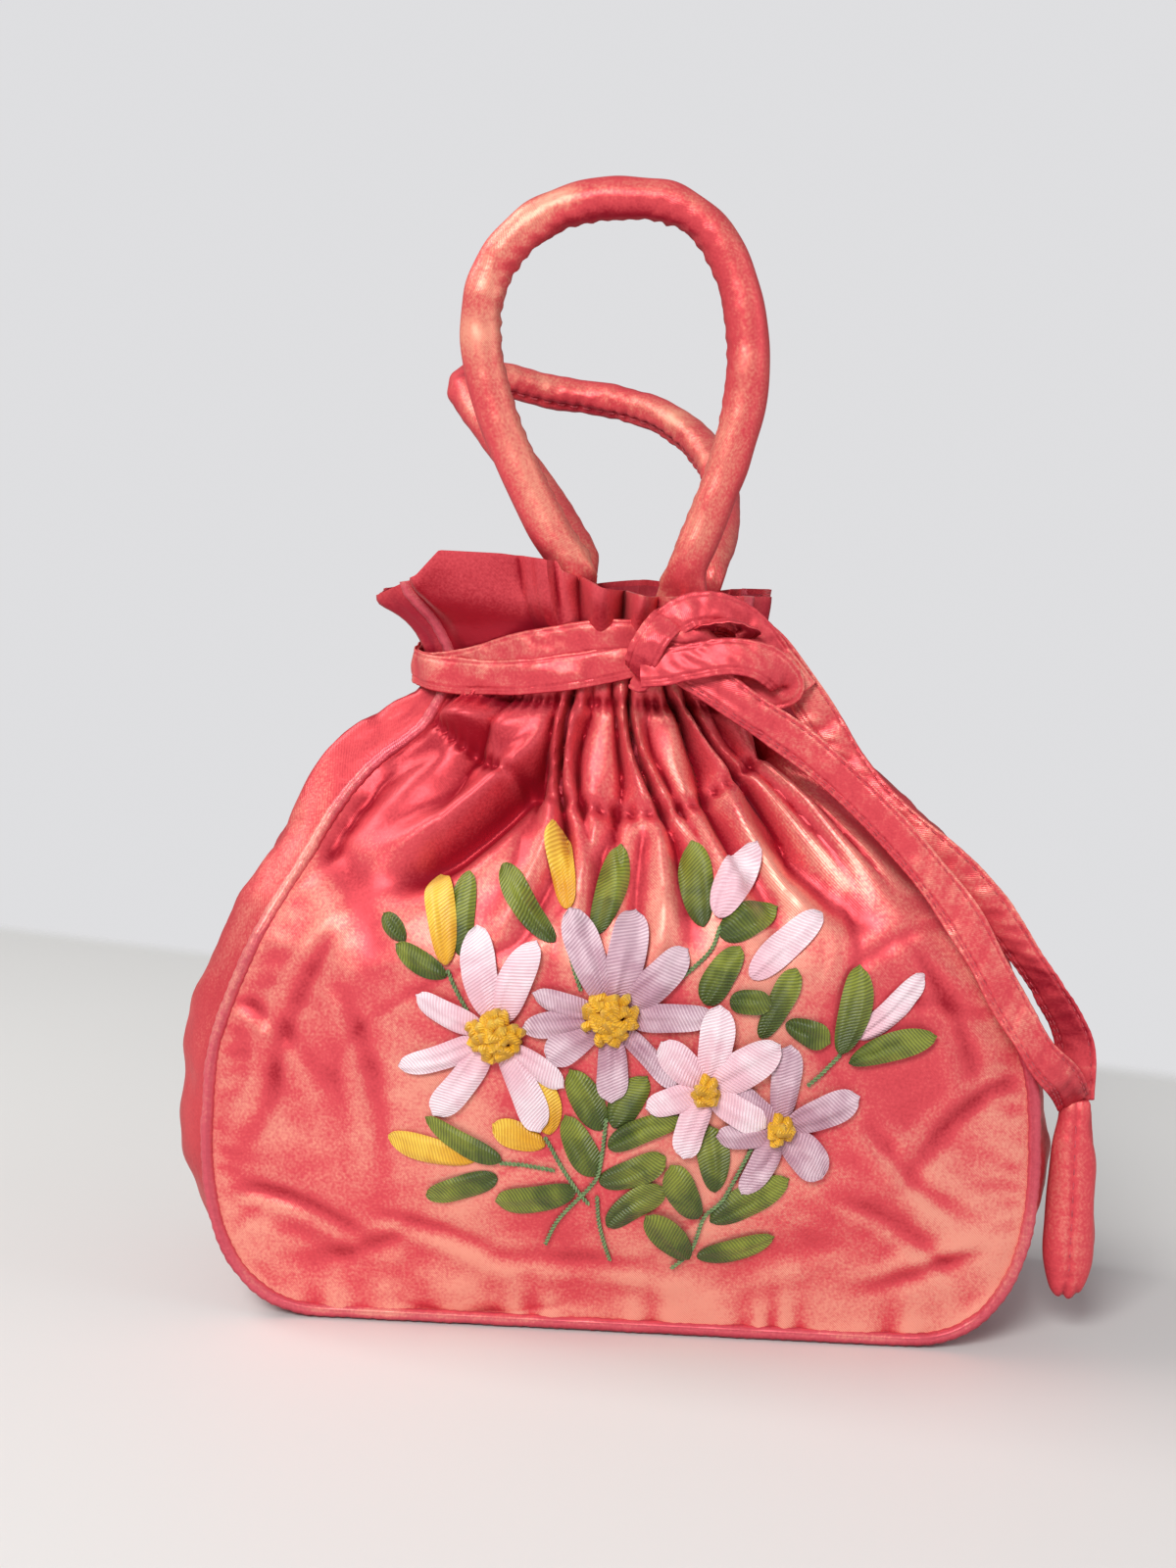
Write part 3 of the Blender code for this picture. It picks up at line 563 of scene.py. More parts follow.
# %% Outline of the seam
def half_outline():
    """The right half of the seam seen from the front, from the base corner to the rim, as x and z.

    The corner is a quarter of a superellipse, the shoulder a curve through its table, and the rim an S.
    """
    turn = np.linspace(math.pi / 2, 0, 24, endpoint=False)
    corner_z = WIDEST_HEIGHT - (WIDEST_HEIGHT - SEAM_HEIGHT) * np.sin(turn) ** (2 / CORNER_FULLNESS)
    corner_x = BASE_HALF + (HALF_WIDTH - BASE_HALF) * np.cos(turn) ** (2 / CORNER_FULLNESS)
    share = curve_through(SHOULDER, 40)
    shoulder_z = WIDEST_HEIGHT + (NECK_HEIGHT - WIDEST_HEIGHT) * share[:, 0]
    shoulder_x = NECK_HALF + (HALF_WIDTH - NECK_HALF) * share[:, 1]
    rim = np.linspace(0, 1, 7)[1:]
    rim_z = NECK_HEIGHT + (RIM_HEIGHT - NECK_HEIGHT) * rim
    rim_x = NECK_HALF + (RIM_HALF - NECK_HALF) * smooth(rim)
    return np.r_[corner_x, shoulder_x, rim_x], np.r_[corner_z, shoulder_z, rim_z]


OUTLINE_X, OUTLINE_Z = half_outline()
print(f"seam outline: {2 * OUTLINE_X.max():.0f} mm wide, {OUTLINE_Z.max():.0f} mm high")


# %% Widths and depths at a height
def half_width(z):
    """Half the width between the seams at this height, read off the outline."""
    return np.interp(z, OUTLINE_Z, OUTLINE_X)


def lean(z):
    """How far the neck has sunk to the left: nothing low down, all of it at the neck."""
    return NECK_LEAN * smooth((z / NECK_HEIGHT - 0.7) / 0.22)


def seam_depth(z):
    """Distance of the seams from the middle plane, closing smoothly towards the neck."""
    return HALF_DEPTH + (NECK_SEAM_DEPTH - HALF_DEPTH) * smooth((z / NECK_HEIGHT - 0.57) / 0.39)


def front_depth(x, z):
    """Distance of a panel's outer face from the middle plane: a parabola between the seams."""
    across = np.clip((x - lean(z)) / half_width(z), -1, 1)
    return seam_depth(z) + PANEL_BULGE * smooth(z / WIDEST_HEIGHT) * (1 - across**2)


def side_bulge(z, side):
    """How far the side strip swells past its seams, on the left (side -1) or right (side 1)."""
    swell = LEFT_BULGE if side < 0 else RIGHT_BULGE
    low = SEAM_HEIGHT + (swell - SEAM_HEIGHT) * smooth((z - SEAM_HEIGHT) / (WIDEST_HEIGHT - SEAM_HEIGHT))
    return low + (NECK_BULGE - low) * smooth((z / NECK_HEIGHT - 0.86) / 0.12)


def across_gusset(s):
    """The share of the swell at s, which runs from -1 at the front seam to 1 at the back seam."""
    return np.minimum(1, 1.25 * (1 - s**4))


# %% The whole seam
def side_line(count):
    """Seam points from base corner to rim on the right, and their outward normals, in x and z."""
    line = curve_through(np.stack([OUTLINE_X, OUTLINE_Z], 1), count)
    tangent = np.gradient(line, axis=0)
    tangent[0] = (1, 0)
    normal = np.stack([tangent[:, 1], -tangent[:, 0]], 1)
    return line, unit(normal)


def seam_line(side_count, base_count):
    """The whole seam, left rim to right rim: x and z, outward normals, and the side of each point."""
    line, normal = side_line(side_count)
    base_x = np.linspace(-BASE_HALF, BASE_HALF, base_count + 2)[1:-1]
    base = np.stack([base_x, np.full(base_count, SEAM_HEIGHT)], 1)
    down = np.tile((0.0, -1.0), (base_count, 1))
    mirror = np.array((-1.0, 1.0))
    points = np.vstack([line[::-1] * mirror, base, line])
    normals = np.vstack([normal[::-1] * mirror, down, normal])
    points[:, 0] += lean(points[:, 1])
    return points, normals, np.where(points[:, 0] < 0, -1, 1)


# %% [markdown]
# Folds in the satin
# The neck is drawn up on two rows of running stitch, so narrow pleats fan out from it, most of them right of
# the middle, while a wide flat pleat and a puffed fold lie on the left. Longer creases run from the neck down
# to the shoulders, short puckers stand along the piped seams, and the rest of the cloth is a little slack.
# A cloth simulation would put these folds where it likes. Here each is a term in one sum, the relief, that
# says how far the cloth stands out at each place, so that a fold can be put where the real one is.

# %% Pleats and creases of this bag
BAND_LOW = 164.0
PLEAT_DEPTH = 7.4
PLEAT_BOTTOM = 112.0
PLEAT_FULL = 150.0
# Place across the panel, from -1 to 1, and the number of pleats passed there
FRONT_PLEATS = ((-1, -0.75, -0.35, -0.05, 0.4, 0.83, 1), (0, 0.6, 1.6, 4.3, 8.1, 11.2, 12))
BACK_PLEATS = ((-1, -0.6, -0.1, 0.3, 0.7, 1), (0, 3.2, 6.4, 8.3, 11.5, 13))
# Creases: start x, z, end x, z, depth, width, bend
FRONT_CREASES = (
    (-20, 147, -62, 113, 9.0, 3.8, 0.06), (-46, 152, -94, 108, 3.4, 4.6, -0.05),
    (-57, 158, -103, 116, 1.6, 4.0, 0), (-14, 134, -27, 100, 2.6, 3.0, 0.05), (-4, 133, -8, 100, 2.0, 2.6, 0),
    (5, 132, 5, 98, 2.2, 2.8, -0.04), (13, 133, 20, 101, 2.6, 3.0, 0), (21, 136, 42, 103, 3.0, 3.2, 0.05),
    (27, 144, 64, 108, 3.6, 3.4, -0.04), (34, 151, 86, 113, 3.4, 4.0, 0.04),
    (44, 150, 98, 100, 1.4, 4.4, -0.05), (-104, 86, -70, 58, 1.6, 5.0, 0.1),
    (-98, 34, -60, 20, 2.0, 4.0, 0.1), (101, 72, 72, 38, 2.0, 4.5, -0.1),
    (94, 26, 60, 12, 1.8, 4.0, 0), (-72, 104, -88, 56, 2.2, 4.5, -0.08), (74, 104, 92, 60, 2.0, 4.5, 0.08),
    (-60, 30, -20, 16, 1.4, 4.0, 0.05), (30, 18, 62, 30, 0.8, 6.0, 0.05), (-84, 128, -60, 96, 1.4, 5.0, 0.1),
    (58, 116, 50, 74, 1.2, 4.0, 0.1), (-70, 88, -58, 34, 1.5, 5.0, 0.06), (64, 60, 98, 30, 1.6, 4.5, -0.06),
    (58, 40, 92, 14, 1.3, 4.0, 0.08), (70, 92, 100, 84, 1.2, 4.0, 0.05), (-14, 118, -18, 84, 1.0, 3.6, 0),
    (14, 118, 12, 80, 1.0, 3.6, 0.05), (-88, 74, -100, 40, 1.4, 4.5, 0.1), (-52, 26, -86, 14, 1.2, 4.0, 0.05),
    (-30, 20, 30, 16, 0.9, 4.5, 0.03),
)
BACK_CREASES = (
    (-20, 138, -64, 100, 2.2, 4.0, 0.05), (-40, 150, -94, 104, 2.4, 4.2, 0), (18, 138, 58, 98, 2.0, 4.0, 0),
    (38, 150, 92, 104, 2.4, 4.2, -0.05), (0, 134, -4, 88, 1.4, 4.0, 0), (-98, 60, -50, 30, 1.2, 7.0, 0.1),
    (98, 60, 44, 26, 1.2, 7.0, -0.1), (-30, 96, -60, 40, 1.0, 8.0, 0), (34, 96, 62, 44, 1.0, 8.0, 0),
)
print(len(FRONT_CREASES), "creases in front,", len(BACK_CREASES), "at the back")


# %% One crease, the stitched row and the pleats
def crease(x, z, start_x, start_z, end_x, end_z, depth, width, bend):
    """A soft valley along a line with a lower ridge beside it, fading at both ends.

    Across the line it is one bell less another, and those that start at the neck are fuller than the rest.
    """
    run_x, run_z = end_x - start_x, end_z - start_z
    length = math.hypot(run_x, run_z)
    t = ((x - start_x) * run_x + (z - start_z) * run_z) / length**2
    aside = ((x - start_x) * run_z - (z - start_z) * run_x) / length
    aside = aside + bend * length * 4 * t * (1 - t)
    fade = smooth((t + 0.15) / 0.35) * smooth((1.1 - t) / 0.55)
    high = smooth((start_z - 112) / 16)
    spread = (0.5 + 0.32 * high) * width * (1 + 0.5 * np.clip(t, 0, 1))
    depth = depth * (0.5 + 0.5 * high)
    return depth * fade * (0.65 * bell((aside - 1.7 * spread) / spread) - bell(aside / spread))


def stitch_row(x):
    """The height of the lower row of gathering stitches on the front panel: two half parabolas."""
    return 135 + np.where(x < 4, 0.0065, 0.016) * (x - 4) ** 2


def pleats(u, z, table):
    """Rounded pleats with narrow valleys: the size of a sine of the pleats passed, wandering with height."""
    passed = np.interp(u, *table)
    wander = smooth((168 - z) / 12) * smooth(passed - 1)
    passed = passed + 0.3 * np.sin(z / 11 + 1.9 * passed) * wander
    size = 0.9 + 0.55 * np.sin(2.3 * passed + 1) + 0.18 * np.sin(z / 9 + 2.6 * passed)
    return size * (np.abs(np.sin(math.pi * passed)) ** 0.75 - 0.62)


# %% Relief of the panels
def panel_relief(x, z, side):
    """How far the cloth stands out from the base shape of the front (side -1) or back (side 1) panel.

    It adds up the pleats, the pinch of each stitched row, the creases, slack and crumples, and the puckers
    along the piping, and fades to nothing at the seams.
    """
    u = np.clip((x - lean(z)) / half_width(z), -1, 1)
    at_seam = smooth((1 - np.abs(u)) * half_width(z) / 7)
    rise = smooth((z - PLEAT_BOTTOM) / (PLEAT_FULL - PLEAT_BOTTOM))
    squeezed = 1 - 0.72 * bell((z - 172) / 9)
    table = FRONT_PLEATS if side < 0 else BACK_PLEATS
    loose = (table[0], np.array(table[1]) * 0.5 + 0.3)
    above = smooth((z - 171) / 7)
    fold = pleats(u, z, table) * (1 - above) + pleats(u, z, loose) * above
    relief = PLEAT_DEPTH * rise * squeezed * fold
    relief += 2.4 * smooth((z - 182) / 8) * fold
    row = stitch_row(x) if side < 0 else 138 + 0.01 * x**2
    pinch = bell((z - row) / 1.9) + bell((z - BAND_LOW + 2) / 1.8)
    knots = 0.5 + 0.5 * np.sin(2 * math.pi * np.interp(u, (-1, 1), (0, 34)))
    relief -= pinch * (1.5 + 1.4 * knots) * smooth((z - 120) / 12)
    for line in FRONT_CREASES if side < 0 else BACK_CREASES:
        relief += crease(x, z, *line)
    if side < 0:
        puffed_fold = 8.0 * bell((x + 37) / 11) * bell((z - 156) / 6)
        wide_pleat = 3.4 * smooth((z - 180) / 5) * smooth((-18.0 - x) / 1.2) * smooth((x + 52) / 4)
        relief += puffed_fold + wide_pleat
    slack = 0.45 * waves(x, z, 34, 3 + side) + 0.08 * waves(x, z, 11, 7 + side)
    crumple = (1 - np.abs(np.tanh(waves(x, z, 62, 15 + side)))) ** 5 * smooth(0.5 + waves(x, z, 70, 19))
    slack = slack - 0.6 * crumple
    relief += slack * (1 - 0.6 * smooth((z - 130) / 20))
    edge = (1 - np.abs(u)) * half_width(z)
    pucker = np.sin(2 * math.pi * z / 6.5 + 1.5 * waves(x, z, 30, 11, 3)) * np.exp(-edge / 5)
    relief += 0.5 * pucker * smooth((z - 20) / 20)
    low = np.exp(-np.clip(z - SEAM_HEIGHT, 0, None) / 6)
    relief += 0.7 * low * np.sin(2 * math.pi * x / 15 + 2.2 * waves(x, 0 * x, 40, 13, 4))
    return relief * at_seam


# %% The ruffle at the rim
# Rim height over the plain rim, against x, on the front and on the back
FRONT_RIM = ((-70, -56, -50, -34, -19.5, -18, -7, 5, 22, 60), (-4, 2, 8.5, 8, 6.5, 4, 0, -2, -1.5, -1))
BACK_RIM = ((-70, -40, -20, 0, 20, 40, 70), (-2, 2, -1, 1.5, -1, 1, -1))
FLARE = 0.15
TIE_PINCH = 0.035
RIGHT_DRAWN_IN = 0.24


def settle(points):
    """Draws the cloth in under the tie, spreads the ruffle above it and gives its edge the real heights."""
    x, y, z = points[..., 0], points[..., 1], points[..., 2]
    pinch = TIE_PINCH * bell((z - 172) / 7)
    spread = FLARE * smooth((z - 177) / 15)
    right = smooth((x - lean(z)) / 24)
    across = 1 + spread * (1 - right) - pinch - RIGHT_DRAWN_IN * right * smooth((z - 152) / 34)
    new_x = lean(z) + (x - lean(z)) * across
    new_y = y * (1 + 1.2 * (spread - pinch))
    blend = smooth((y + 12) / 24)
    rise = (1 - blend) * np.interp(new_x, *FRONT_RIM) + blend * np.interp(new_x, *BACK_RIM)
    return np.stack([new_x, new_y, z + rise * smooth((z - 178) / 14)], -1)


def on_panel(x, z, lift, side=-1):
    """Points on a panel's finished face, lifted off it along the normal of the base shape."""
    step = 0.5
    slope_x = (front_depth(x + step, z) - front_depth(x - step, z)) / (2 * step)
    slope_z = (front_depth(x, z + step) - front_depth(x, z - step)) / (2 * step)
    scale = (lift + panel_relief(x, z, side)) / np.sqrt(1 + slope_x**2 + slope_z**2)
    base = np.stack([x - slope_x * scale, side * (front_depth(x, z) + scale), z - slope_z * scale], -1)
    return settle(base)


# %% [markdown]
# Panels and side strip
# Each is cut from flat cloth on the real bag. Here each is one grid with its relief, and it gets the cloth's
# thickness from a second grid behind the first, with the edges closed, because a Solidify modifier would
# thicken the cloth unevenly in its sharpest folds.

# %% The grids of the pouch
PANEL_EDGE = 0.6 * PIPING_RADIUS
INNER_RIM_DROP = 1.5


def panel_grid(rows, columns, side, inset=0.0):
    """A panel's points in rows of equal height, from its seams inwards, and their UV places."""
    line, normal = side_line(rows)
    edge = line - normal * (PANEL_EDGE + inset)
    edge[-1, 1] = RIM_HEIGHT - (INNER_RIM_DROP if inset else 0)
    across = np.linspace(-1, 1, columns)
    z = np.repeat(edge[:, 1:2], columns, axis=1)
    x = edge[:, 0:1] * across + lean(z)
    return on_panel(x, z, -inset, side), np.stack([x, z], -1)


def gusset_grid(along, below, across, inset=0.0):
    """The side strip's points, left rim to right rim, and their UV places."""
    points, normals, side = seam_line(along, below)
    s = np.linspace(-1, 1, across)
    z = points[:, 1]
    swell = np.where(side < 0, side_bulge(z, -1), side_bulge(z, 1))[:, None] * across_gusset(s)
    distance = distance_along(points)
    upright = smooth((z - 12) / 20)[:, None]
    inside = smooth((1 - np.abs(s)) / 0.2)
    along_strip, across_strip = distance[:, None] + 0 * s, 40 * s + 0 * distance[:, None]
    folds = 0.9 * waves(along_strip, across_strip, 36, 21) + 0.35 * waves(along_strip, across_strip, 12, 22)
    gathers = smooth((z - 120) / 30)[:, None] * 1.6 * (np.abs(np.sin(math.pi * 2.5 * s)) - 0.6)
    for row in (148, 160):
        gathers = gathers - 1.6 * bell((z - row) / 2.0)[:, None] * (0.6 + 0.4 * np.sin(18 * s))
    out = swell - inset + (folds * 0.8 + gathers) * upright * inside
    y = (seam_depth(z) - 0.3 * PIPING_RADIUS - 0.5 * inset)[:, None] * s
    x = points[:, 0:1] + normals[:, 0:1] * out
    height = points[:, 1:2] + normals[:, 1:2] * out
    if inset:
        height = np.minimum(height, RIM_HEIGHT - INNER_RIM_DROP)
    strip = settle(np.stack([x, y, height], -1))
    return strip, np.stack([along_strip, y], -1)


# %% Sew the pouch
front_points, front_uv = panel_grid(grid_count(190), grid_count(180), -1)
back_points, back_uv = panel_grid(grid_count(130), grid_count(120), 1)
side_points, side_uv = gusset_grid(grid_count(150), grid_count(80), grid_count(34))
make_piece("pouch_front", [slab(front_points[:, ::-1], front_uv[:, ::-1], CLOTH)], pouch_satin,
           stands_for=("front_panel",))
make_piece("pouch_back", [slab(back_points, back_uv, CLOTH)], pouch_satin,
           stands_for=("back_panel",))
make_piece("pouch_side", [slab(side_points, side_uv, -CLOTH)], side_satin,
           stands_for=("gusset",))

# %% [markdown]
# Piping
# A cord wrapped in satin cut on the bias is caught in each seam. A curve with a round bevel would make it,
# but without the wrinkles of its cover, so the section's radius varies as it is carried along the seam.


# %% Lines and frames
def piping_line(side, along, below):
    """The seam's own line at the front (side -1) or back (side 1)."""
    points, _, _ = seam_line(along, below)
    return settle(np.stack([points[:, 0], side * seam_depth(points[:, 1]), points[:, 1]], 1))


def frames_along(line, lead):
    """Two directions square to a line at each point, the first as near as can be to the lead direction."""
    tangent = unit(np.gradient(line, axis=0))
    lead = np.broadcast_to(np.asarray(lead, float), line.shape)
    first = unit(lead - tangent * (lead * tangent).sum(-1, keepdims=True))
    return first, np.cross(tangent, first)


# %% Covered cord
def round_section(radii, sides):
    """Circles of these radii, one for each station; a radius may also vary round the circle."""
    turn = np.linspace(0, 2 * math.pi, sides, endpoint=False)
    radii = np.broadcast_to(np.asarray(radii, float).reshape(len(radii), -1), (len(radii), sides))
    return np.stack([radii * np.cos(turn), radii * np.sin(turn)], -1)


def make_seam_cord(name, side, node):
    """Bias-cut satin over a cord: a round section with small diagonal wrinkles where the cover turns."""
    line = piping_line(side, grid_count(240), grid_count(110))
    first, second = frames_along(line, (0, side, 0))
    distance = distance_along(line)[:, None]
    turn = np.linspace(0, 2 * math.pi, 12, endpoint=False)
    wrinkle = 0.07 * np.sin(2 * math.pi * distance / 3.1 + turn) + 0.05 * waves(distance, turn * 3, 9, 31)
    return make_piece(name, [sweep(line, first, second, round_section(PIPING_RADIUS * (1.05 + wrinkle), 12))],
                      piping_satin, stands_for=(node,))


make_seam_cord("seam_cord_front", -1, "front_piping")
make_seam_cord("seam_cord_back", 1, "back_piping")

# %% [markdown]
# Lining
# The lining is a plain bag inside the outer one, sewn in at the ruffle. The same grids are used again, drawn
# in by a little, so that it follows the outer cloth and never shows through it.

# %% Inner bag
LINING_INSET = 2.2
LINING_CLOTH = 0.4
lining_parts = []
for side in (-1, 1):
    points, uv = panel_grid(grid_count(70), grid_count(60), side, LINING_INSET)
    points, uv = (points[:, ::-1], uv[:, ::-1]) if side < 0 else (points, uv)
    lining_parts.append(slab(points, uv, LINING_CLOTH))
points, uv = gusset_grid(grid_count(60), grid_count(30), grid_count(18), LINING_INSET)
lining_parts.append(slab(points, uv, -LINING_CLOTH))
make_piece("inner_cloth", lining_parts, lining_cloth, stands_for=("lining",))

# %% [markdown]
# The two straps
# Each strap is a satin tube with wadding inside, closed by a running seam along its inner side. The seam
# draws the cover into small puckers, the bends throw it into wrinkles, and each leg flattens where it goes
# down between the ruffle and the lining. The strap could be a plain round curve, but its seam and wrinkles
# are what make it look stuffed, so its radius is a sum of such terms.

# %% The lines of the straps
HINGE_HEIGHT = 197.6
HANDLE_OFFSET = 22.8
FRONT_HANDLE = (
    (-16.5, 0, 0), (-22.5, 0, 9), (-30.5, 0, 24), (-37, 0, 39), (-40.8, 0, 54), (-40.6, 0, 67), (-36, 0, 78),
    (-26.6, 0, 87), (-15, 0, 91.5), (-3.6, 0, 92.5), (7.7, 0, 91), (17.1, 0, 84.5), (23.8, 0, 72.5),
    (27, 0, 57.5), (26.8, 0, 43), (23.5, 0, 28), (18.2, 0, 12.5), (13.5, 0, 0),
)
BACK_HANDLE = (
    (-17, 0, 0), (-22.5, 6, 9), (-32, 19, 21.5), (-42, 32, 32), (-53, 46, 44), (-58.5, 58, 51.5),
    (-55.5, 68, 55.5), (-47, 75, 55), (-35, 79, 52.5), (-23, 80, 51), (-10, 77, 48.5), (2.5, 69, 44),
    (13.5, 57, 35.5), (20, 38, 24.5), (20.8, 16, 10.5), (18, 0, 0),
)
# How each leg goes on below its hinge: inwards along x, towards the middle of the bag, and down
LEG = ((1.5, 1.0, -8), (3.0, 2.5, -17), (3.5, 3.5, -25))


def strap_line(points, side, count):
    """The middle line of a strap from the foot of one leg to the foot of the other."""
    first, last = np.array(points[0], float), np.array(points[-1], float)
    step = np.array(LEG)
    start = first + step[::-1] * (1, -side, 1)
    end = last + step * (-1, -side, 1)
    line = curve_through(np.vstack([start, points, end]), count)
    return line + (0, side * HANDLE_OFFSET, HINGE_HEIGHT)


# %% The tube of a strap
STRAP_RADIUS = 5.3
STRAP_SIDES = 36
SEAM_TURN = 0.45
STITCH_PITCH = 4.4


def strap_section(line, curvature, flat, seed):
    """The tube's section at each station: round, with a drawn-in seam, puckers, wrinkles and slack.

    Each is taken off or added to the radius: a bell at the seam's turn, a cosine along the stitches beside
    it, the size of a sine on the inside of bends, and seeded waves all over.
    """
    distance = distance_along(line)[:, None]
    turn = np.linspace(0, 2 * math.pi, STRAP_SIDES, endpoint=False)[None]
    from_seam = np.abs(turn - SEAM_TURN)
    girth = STRAP_RADIUS * turn
    radius = STRAP_RADIUS + 0.16 * waves(distance, np.sin(turn) * 6, 46, seed)
    radius = radius + 0.07 * waves(distance, np.sin(turn) * 6, 9, seed + 1) * (1 + 3 * curvature[:, None])
    inner = 0.5 + 0.5 * np.cos(turn)
    wrinkles = np.abs(np.sin(math.pi * distance / 5.5 + 0.6 * np.sin(girth)))
    radius = radius - 0.6 * inner * curvature[:, None] * wrinkles
    radius = radius - 1.1 * bell(from_seam / 0.16)
    radius = radius + 0.3 * np.cos(2 * math.pi * distance / STITCH_PITCH) * bell(from_seam / 0.5)
    return np.stack([radius * np.cos(turn) * (1 + 0.25 * flat[:, None]),
                     radius * np.sin(turn) * (1 - 0.55 * flat[:, None])], -1)


# %% Short threads
def capsules(places, along, outward, length, radius):
    """Small threads lying on a surface, sunk at both ends: the skins of all of them as one.

    Each is four rings of six points, and all of them are worked out together, as one array.
    """
    t = np.array((-0.5, -0.32, 0.32, 0.5))
    size = np.array((0.35, 1.0, 1.0, 0.35))
    turn = np.linspace(0, 2 * math.pi, 6, endpoint=False)
    along, outward = unit(along), unit(outward)
    beside = np.cross(along, outward)
    sink = np.array((-0.9, 0.3, 0.3, -0.9)) * radius
    forward_by, out_by = (t * length)[None, :, None], sink[None, :, None]
    centre = places[:, None] + along[:, None] * forward_by + outward[:, None] * out_by
    ring = (outward[:, None] * np.cos(turn)[None, :, None] + beside[:, None] * np.sin(turn)[None, :, None])
    points = centre[:, :, None] + ring[:, None] * (size * radius)[None, :, None, None]
    faces = []
    pattern = quads(4, 6, True).tolist() + [list(range(6)), list(range(18, 24))]
    for number in range(len(places)):
        faces += [[corner + 24 * number for corner in face] for face in pattern]
    uv = np.stack(np.broadcast_arrays(forward_by, radius * turn[None, None]), -1)
    uv = np.broadcast_to(uv, (len(places), 4, 6, 2))
    return points.reshape(-1, 3), faces, uv.reshape(-1, 2)


# %% Sew on the straps
def sampled(values, distance, at):
    """A value for each point of a line, read off at these distances along it."""
    return np.stack([np.interp(at, distance, axis) for axis in values.T], 1)


def make_strap(name, points, side, body, nodes, seed):
    """A padded strap, its seam turned inwards and its legs flattened below the rim, and its stitches, which
    go with its body.
    """
    line = strap_line(points, side, grid_count(330))
    centre = np.mean(line[np.abs(line[:, 2] - HINGE_HEIGHT) > 20], axis=0)
    first, second = frames_along(line, centre - line)
    tangent = unit(np.gradient(line, axis=0))
    bend = np.linalg.norm(np.gradient(tangent, axis=0), axis=1) / np.gradient(distance_along(line))
    curvature = np.clip(np.convolve(bend, np.ones(9) / 9, "same") / 0.06, 0, 1)
    flat = smooth((HINGE_HEIGHT + 3 - line[:, 2]) / 12)
    section = strap_section(line, curvature, flat, seed)
    strap = make_piece(name, [sweep(line, first, second, section)], strap_satin, body=None,
                       stands_for=nodes)
    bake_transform(strap)
    distance = distance_along(line)
    at = np.arange(distance[0] + 40, distance[-1] - 40, STITCH_PITCH)
    seam = first * math.cos(SEAM_TURN) + second * math.sin(SEAM_TURN)
    radius = np.linalg.norm(section[:, round(SEAM_TURN / (2 * math.pi) * STRAP_SIDES)], axis=1)
    places = line + seam * (radius + 0.12)[:, None]
    picked = [sampled(values, distance, at) for values in (places, tangent, seam)]
    threads = capsules(*picked, 2.5, 0.22)
    make_piece(f"{name}_seam", [threads], sewing_thread, body=body)
    print(f"{name}: {distance[-1]:.0f} mm long")


make_strap("strap_front", FRONT_HANDLE, -1, "front_handle", ("front_handle_cover", "front_handle_core"), 41)
make_strap("strap_back", BACK_HANDLE, 1, "back_handle", ("back_handle_cover", "back_handle_core"), 51)

# %% [markdown]
# The tie
# One long strip of satin, folded to about nine and a half millimetres and stitched along both edges, goes
# twice round the neck and is tied in a loose bow at the front. Its two tails run down past the right side
# and end in one stuffed drop. One long strip could be tied by hand along a single curve, but each run needs
# its own turn and fullness. So every run is the same flat section, carried along a line of its own.

# %% The strip's section
TIE_HALF = 4.75
TIE_THICKNESS = 0.42
TIE_COLUMNS = 26
# Where the stitches run, as shares of the half width
STITCH_LINES = (0.8, 0.62, -0.78)
KNOT = np.array((13.0, -36.8, 179.6))


def tie_section(line, seed, half, bow):
    """The folded strip's section: thin, a little bowed, with sunk stitch lines and gentle wrinkles.

    Two nearly flat faces meet at rounded edges; a parabola bows them and seeded waves lift and widen them.
    """
    distance = distance_along(line)[:, None]
    across = np.linspace(-1, 1, TIE_COLUMNS)
    side = np.r_[across, across[::-1]][None]
    face = np.r_[np.ones(TIE_COLUMNS), -np.ones(TIE_COLUMNS)][None]
    rounded = np.sqrt(np.clip(1.03 - side**6, 0, 1))
    sunk = sum(bell((side - place) / 0.06) for place in STITCH_LINES)
    thick = face * TIE_THICKNESS * rounded * (1 - 0.8 * sunk)
    wrinkle = 0.35 * waves(distance, side * half, 16, seed) + 0.13 * waves(distance, side * half, 5, seed + 1)
    pucker = 0.12 * np.sin(2 * math.pi * distance / 2.6) * side**4
    lift = bow * (1 - side**2) + wrinkle + pucker
    width = side * half * (1 + 0.05 * waves(distance, 0 * side, 22, seed + 2))
    return np.stack([width, lift + thick], -1)


# %% Turns round the neck
TURN_HEIGHT = 173.0
BACK_HEIGHT = 172.0


def neck_outline(z, outset, count):
    """The closed outline of the neck at one height, moved outwards, starting behind the knot.

    It joins the front panel, the right strip, the back panel and the left strip, and is then smoothed.
    """
    u = np.linspace(-1, 1, 60)
    x = half_width(z) * u + lean(z)
    front = np.stack([x, -front_depth(x, z)], 1)
    s = np.linspace(-1, 1, 20)[1:-1]
    right = np.stack([half_width(z) + lean(z) + side_bulge(z, 1) * across_gusset(s), seam_depth(z) * s], 1)
    left = np.stack([-half_width(z) + lean(z) - side_bulge(z, -1) * across_gusset(s), seam_depth(z) * s], 1)
    ring = np.vstack([front, right, front[::-1] * (1, -1), left[::-1]])
    start = np.argmin(np.hypot(ring[:, 0] - KNOT[0], ring[:, 1] + front_depth(KNOT[0], z)))
    ring = np.roll(ring, -start, axis=0)
    ring = np.vstack([ring, ring[:1]])
    tangent = unit(np.gradient(ring, axis=0))
    normal = np.stack([tangent[:, 1], -tangent[:, 0]], 1)
    return curve_through(ring[::4] + outset * normal[::4], count)


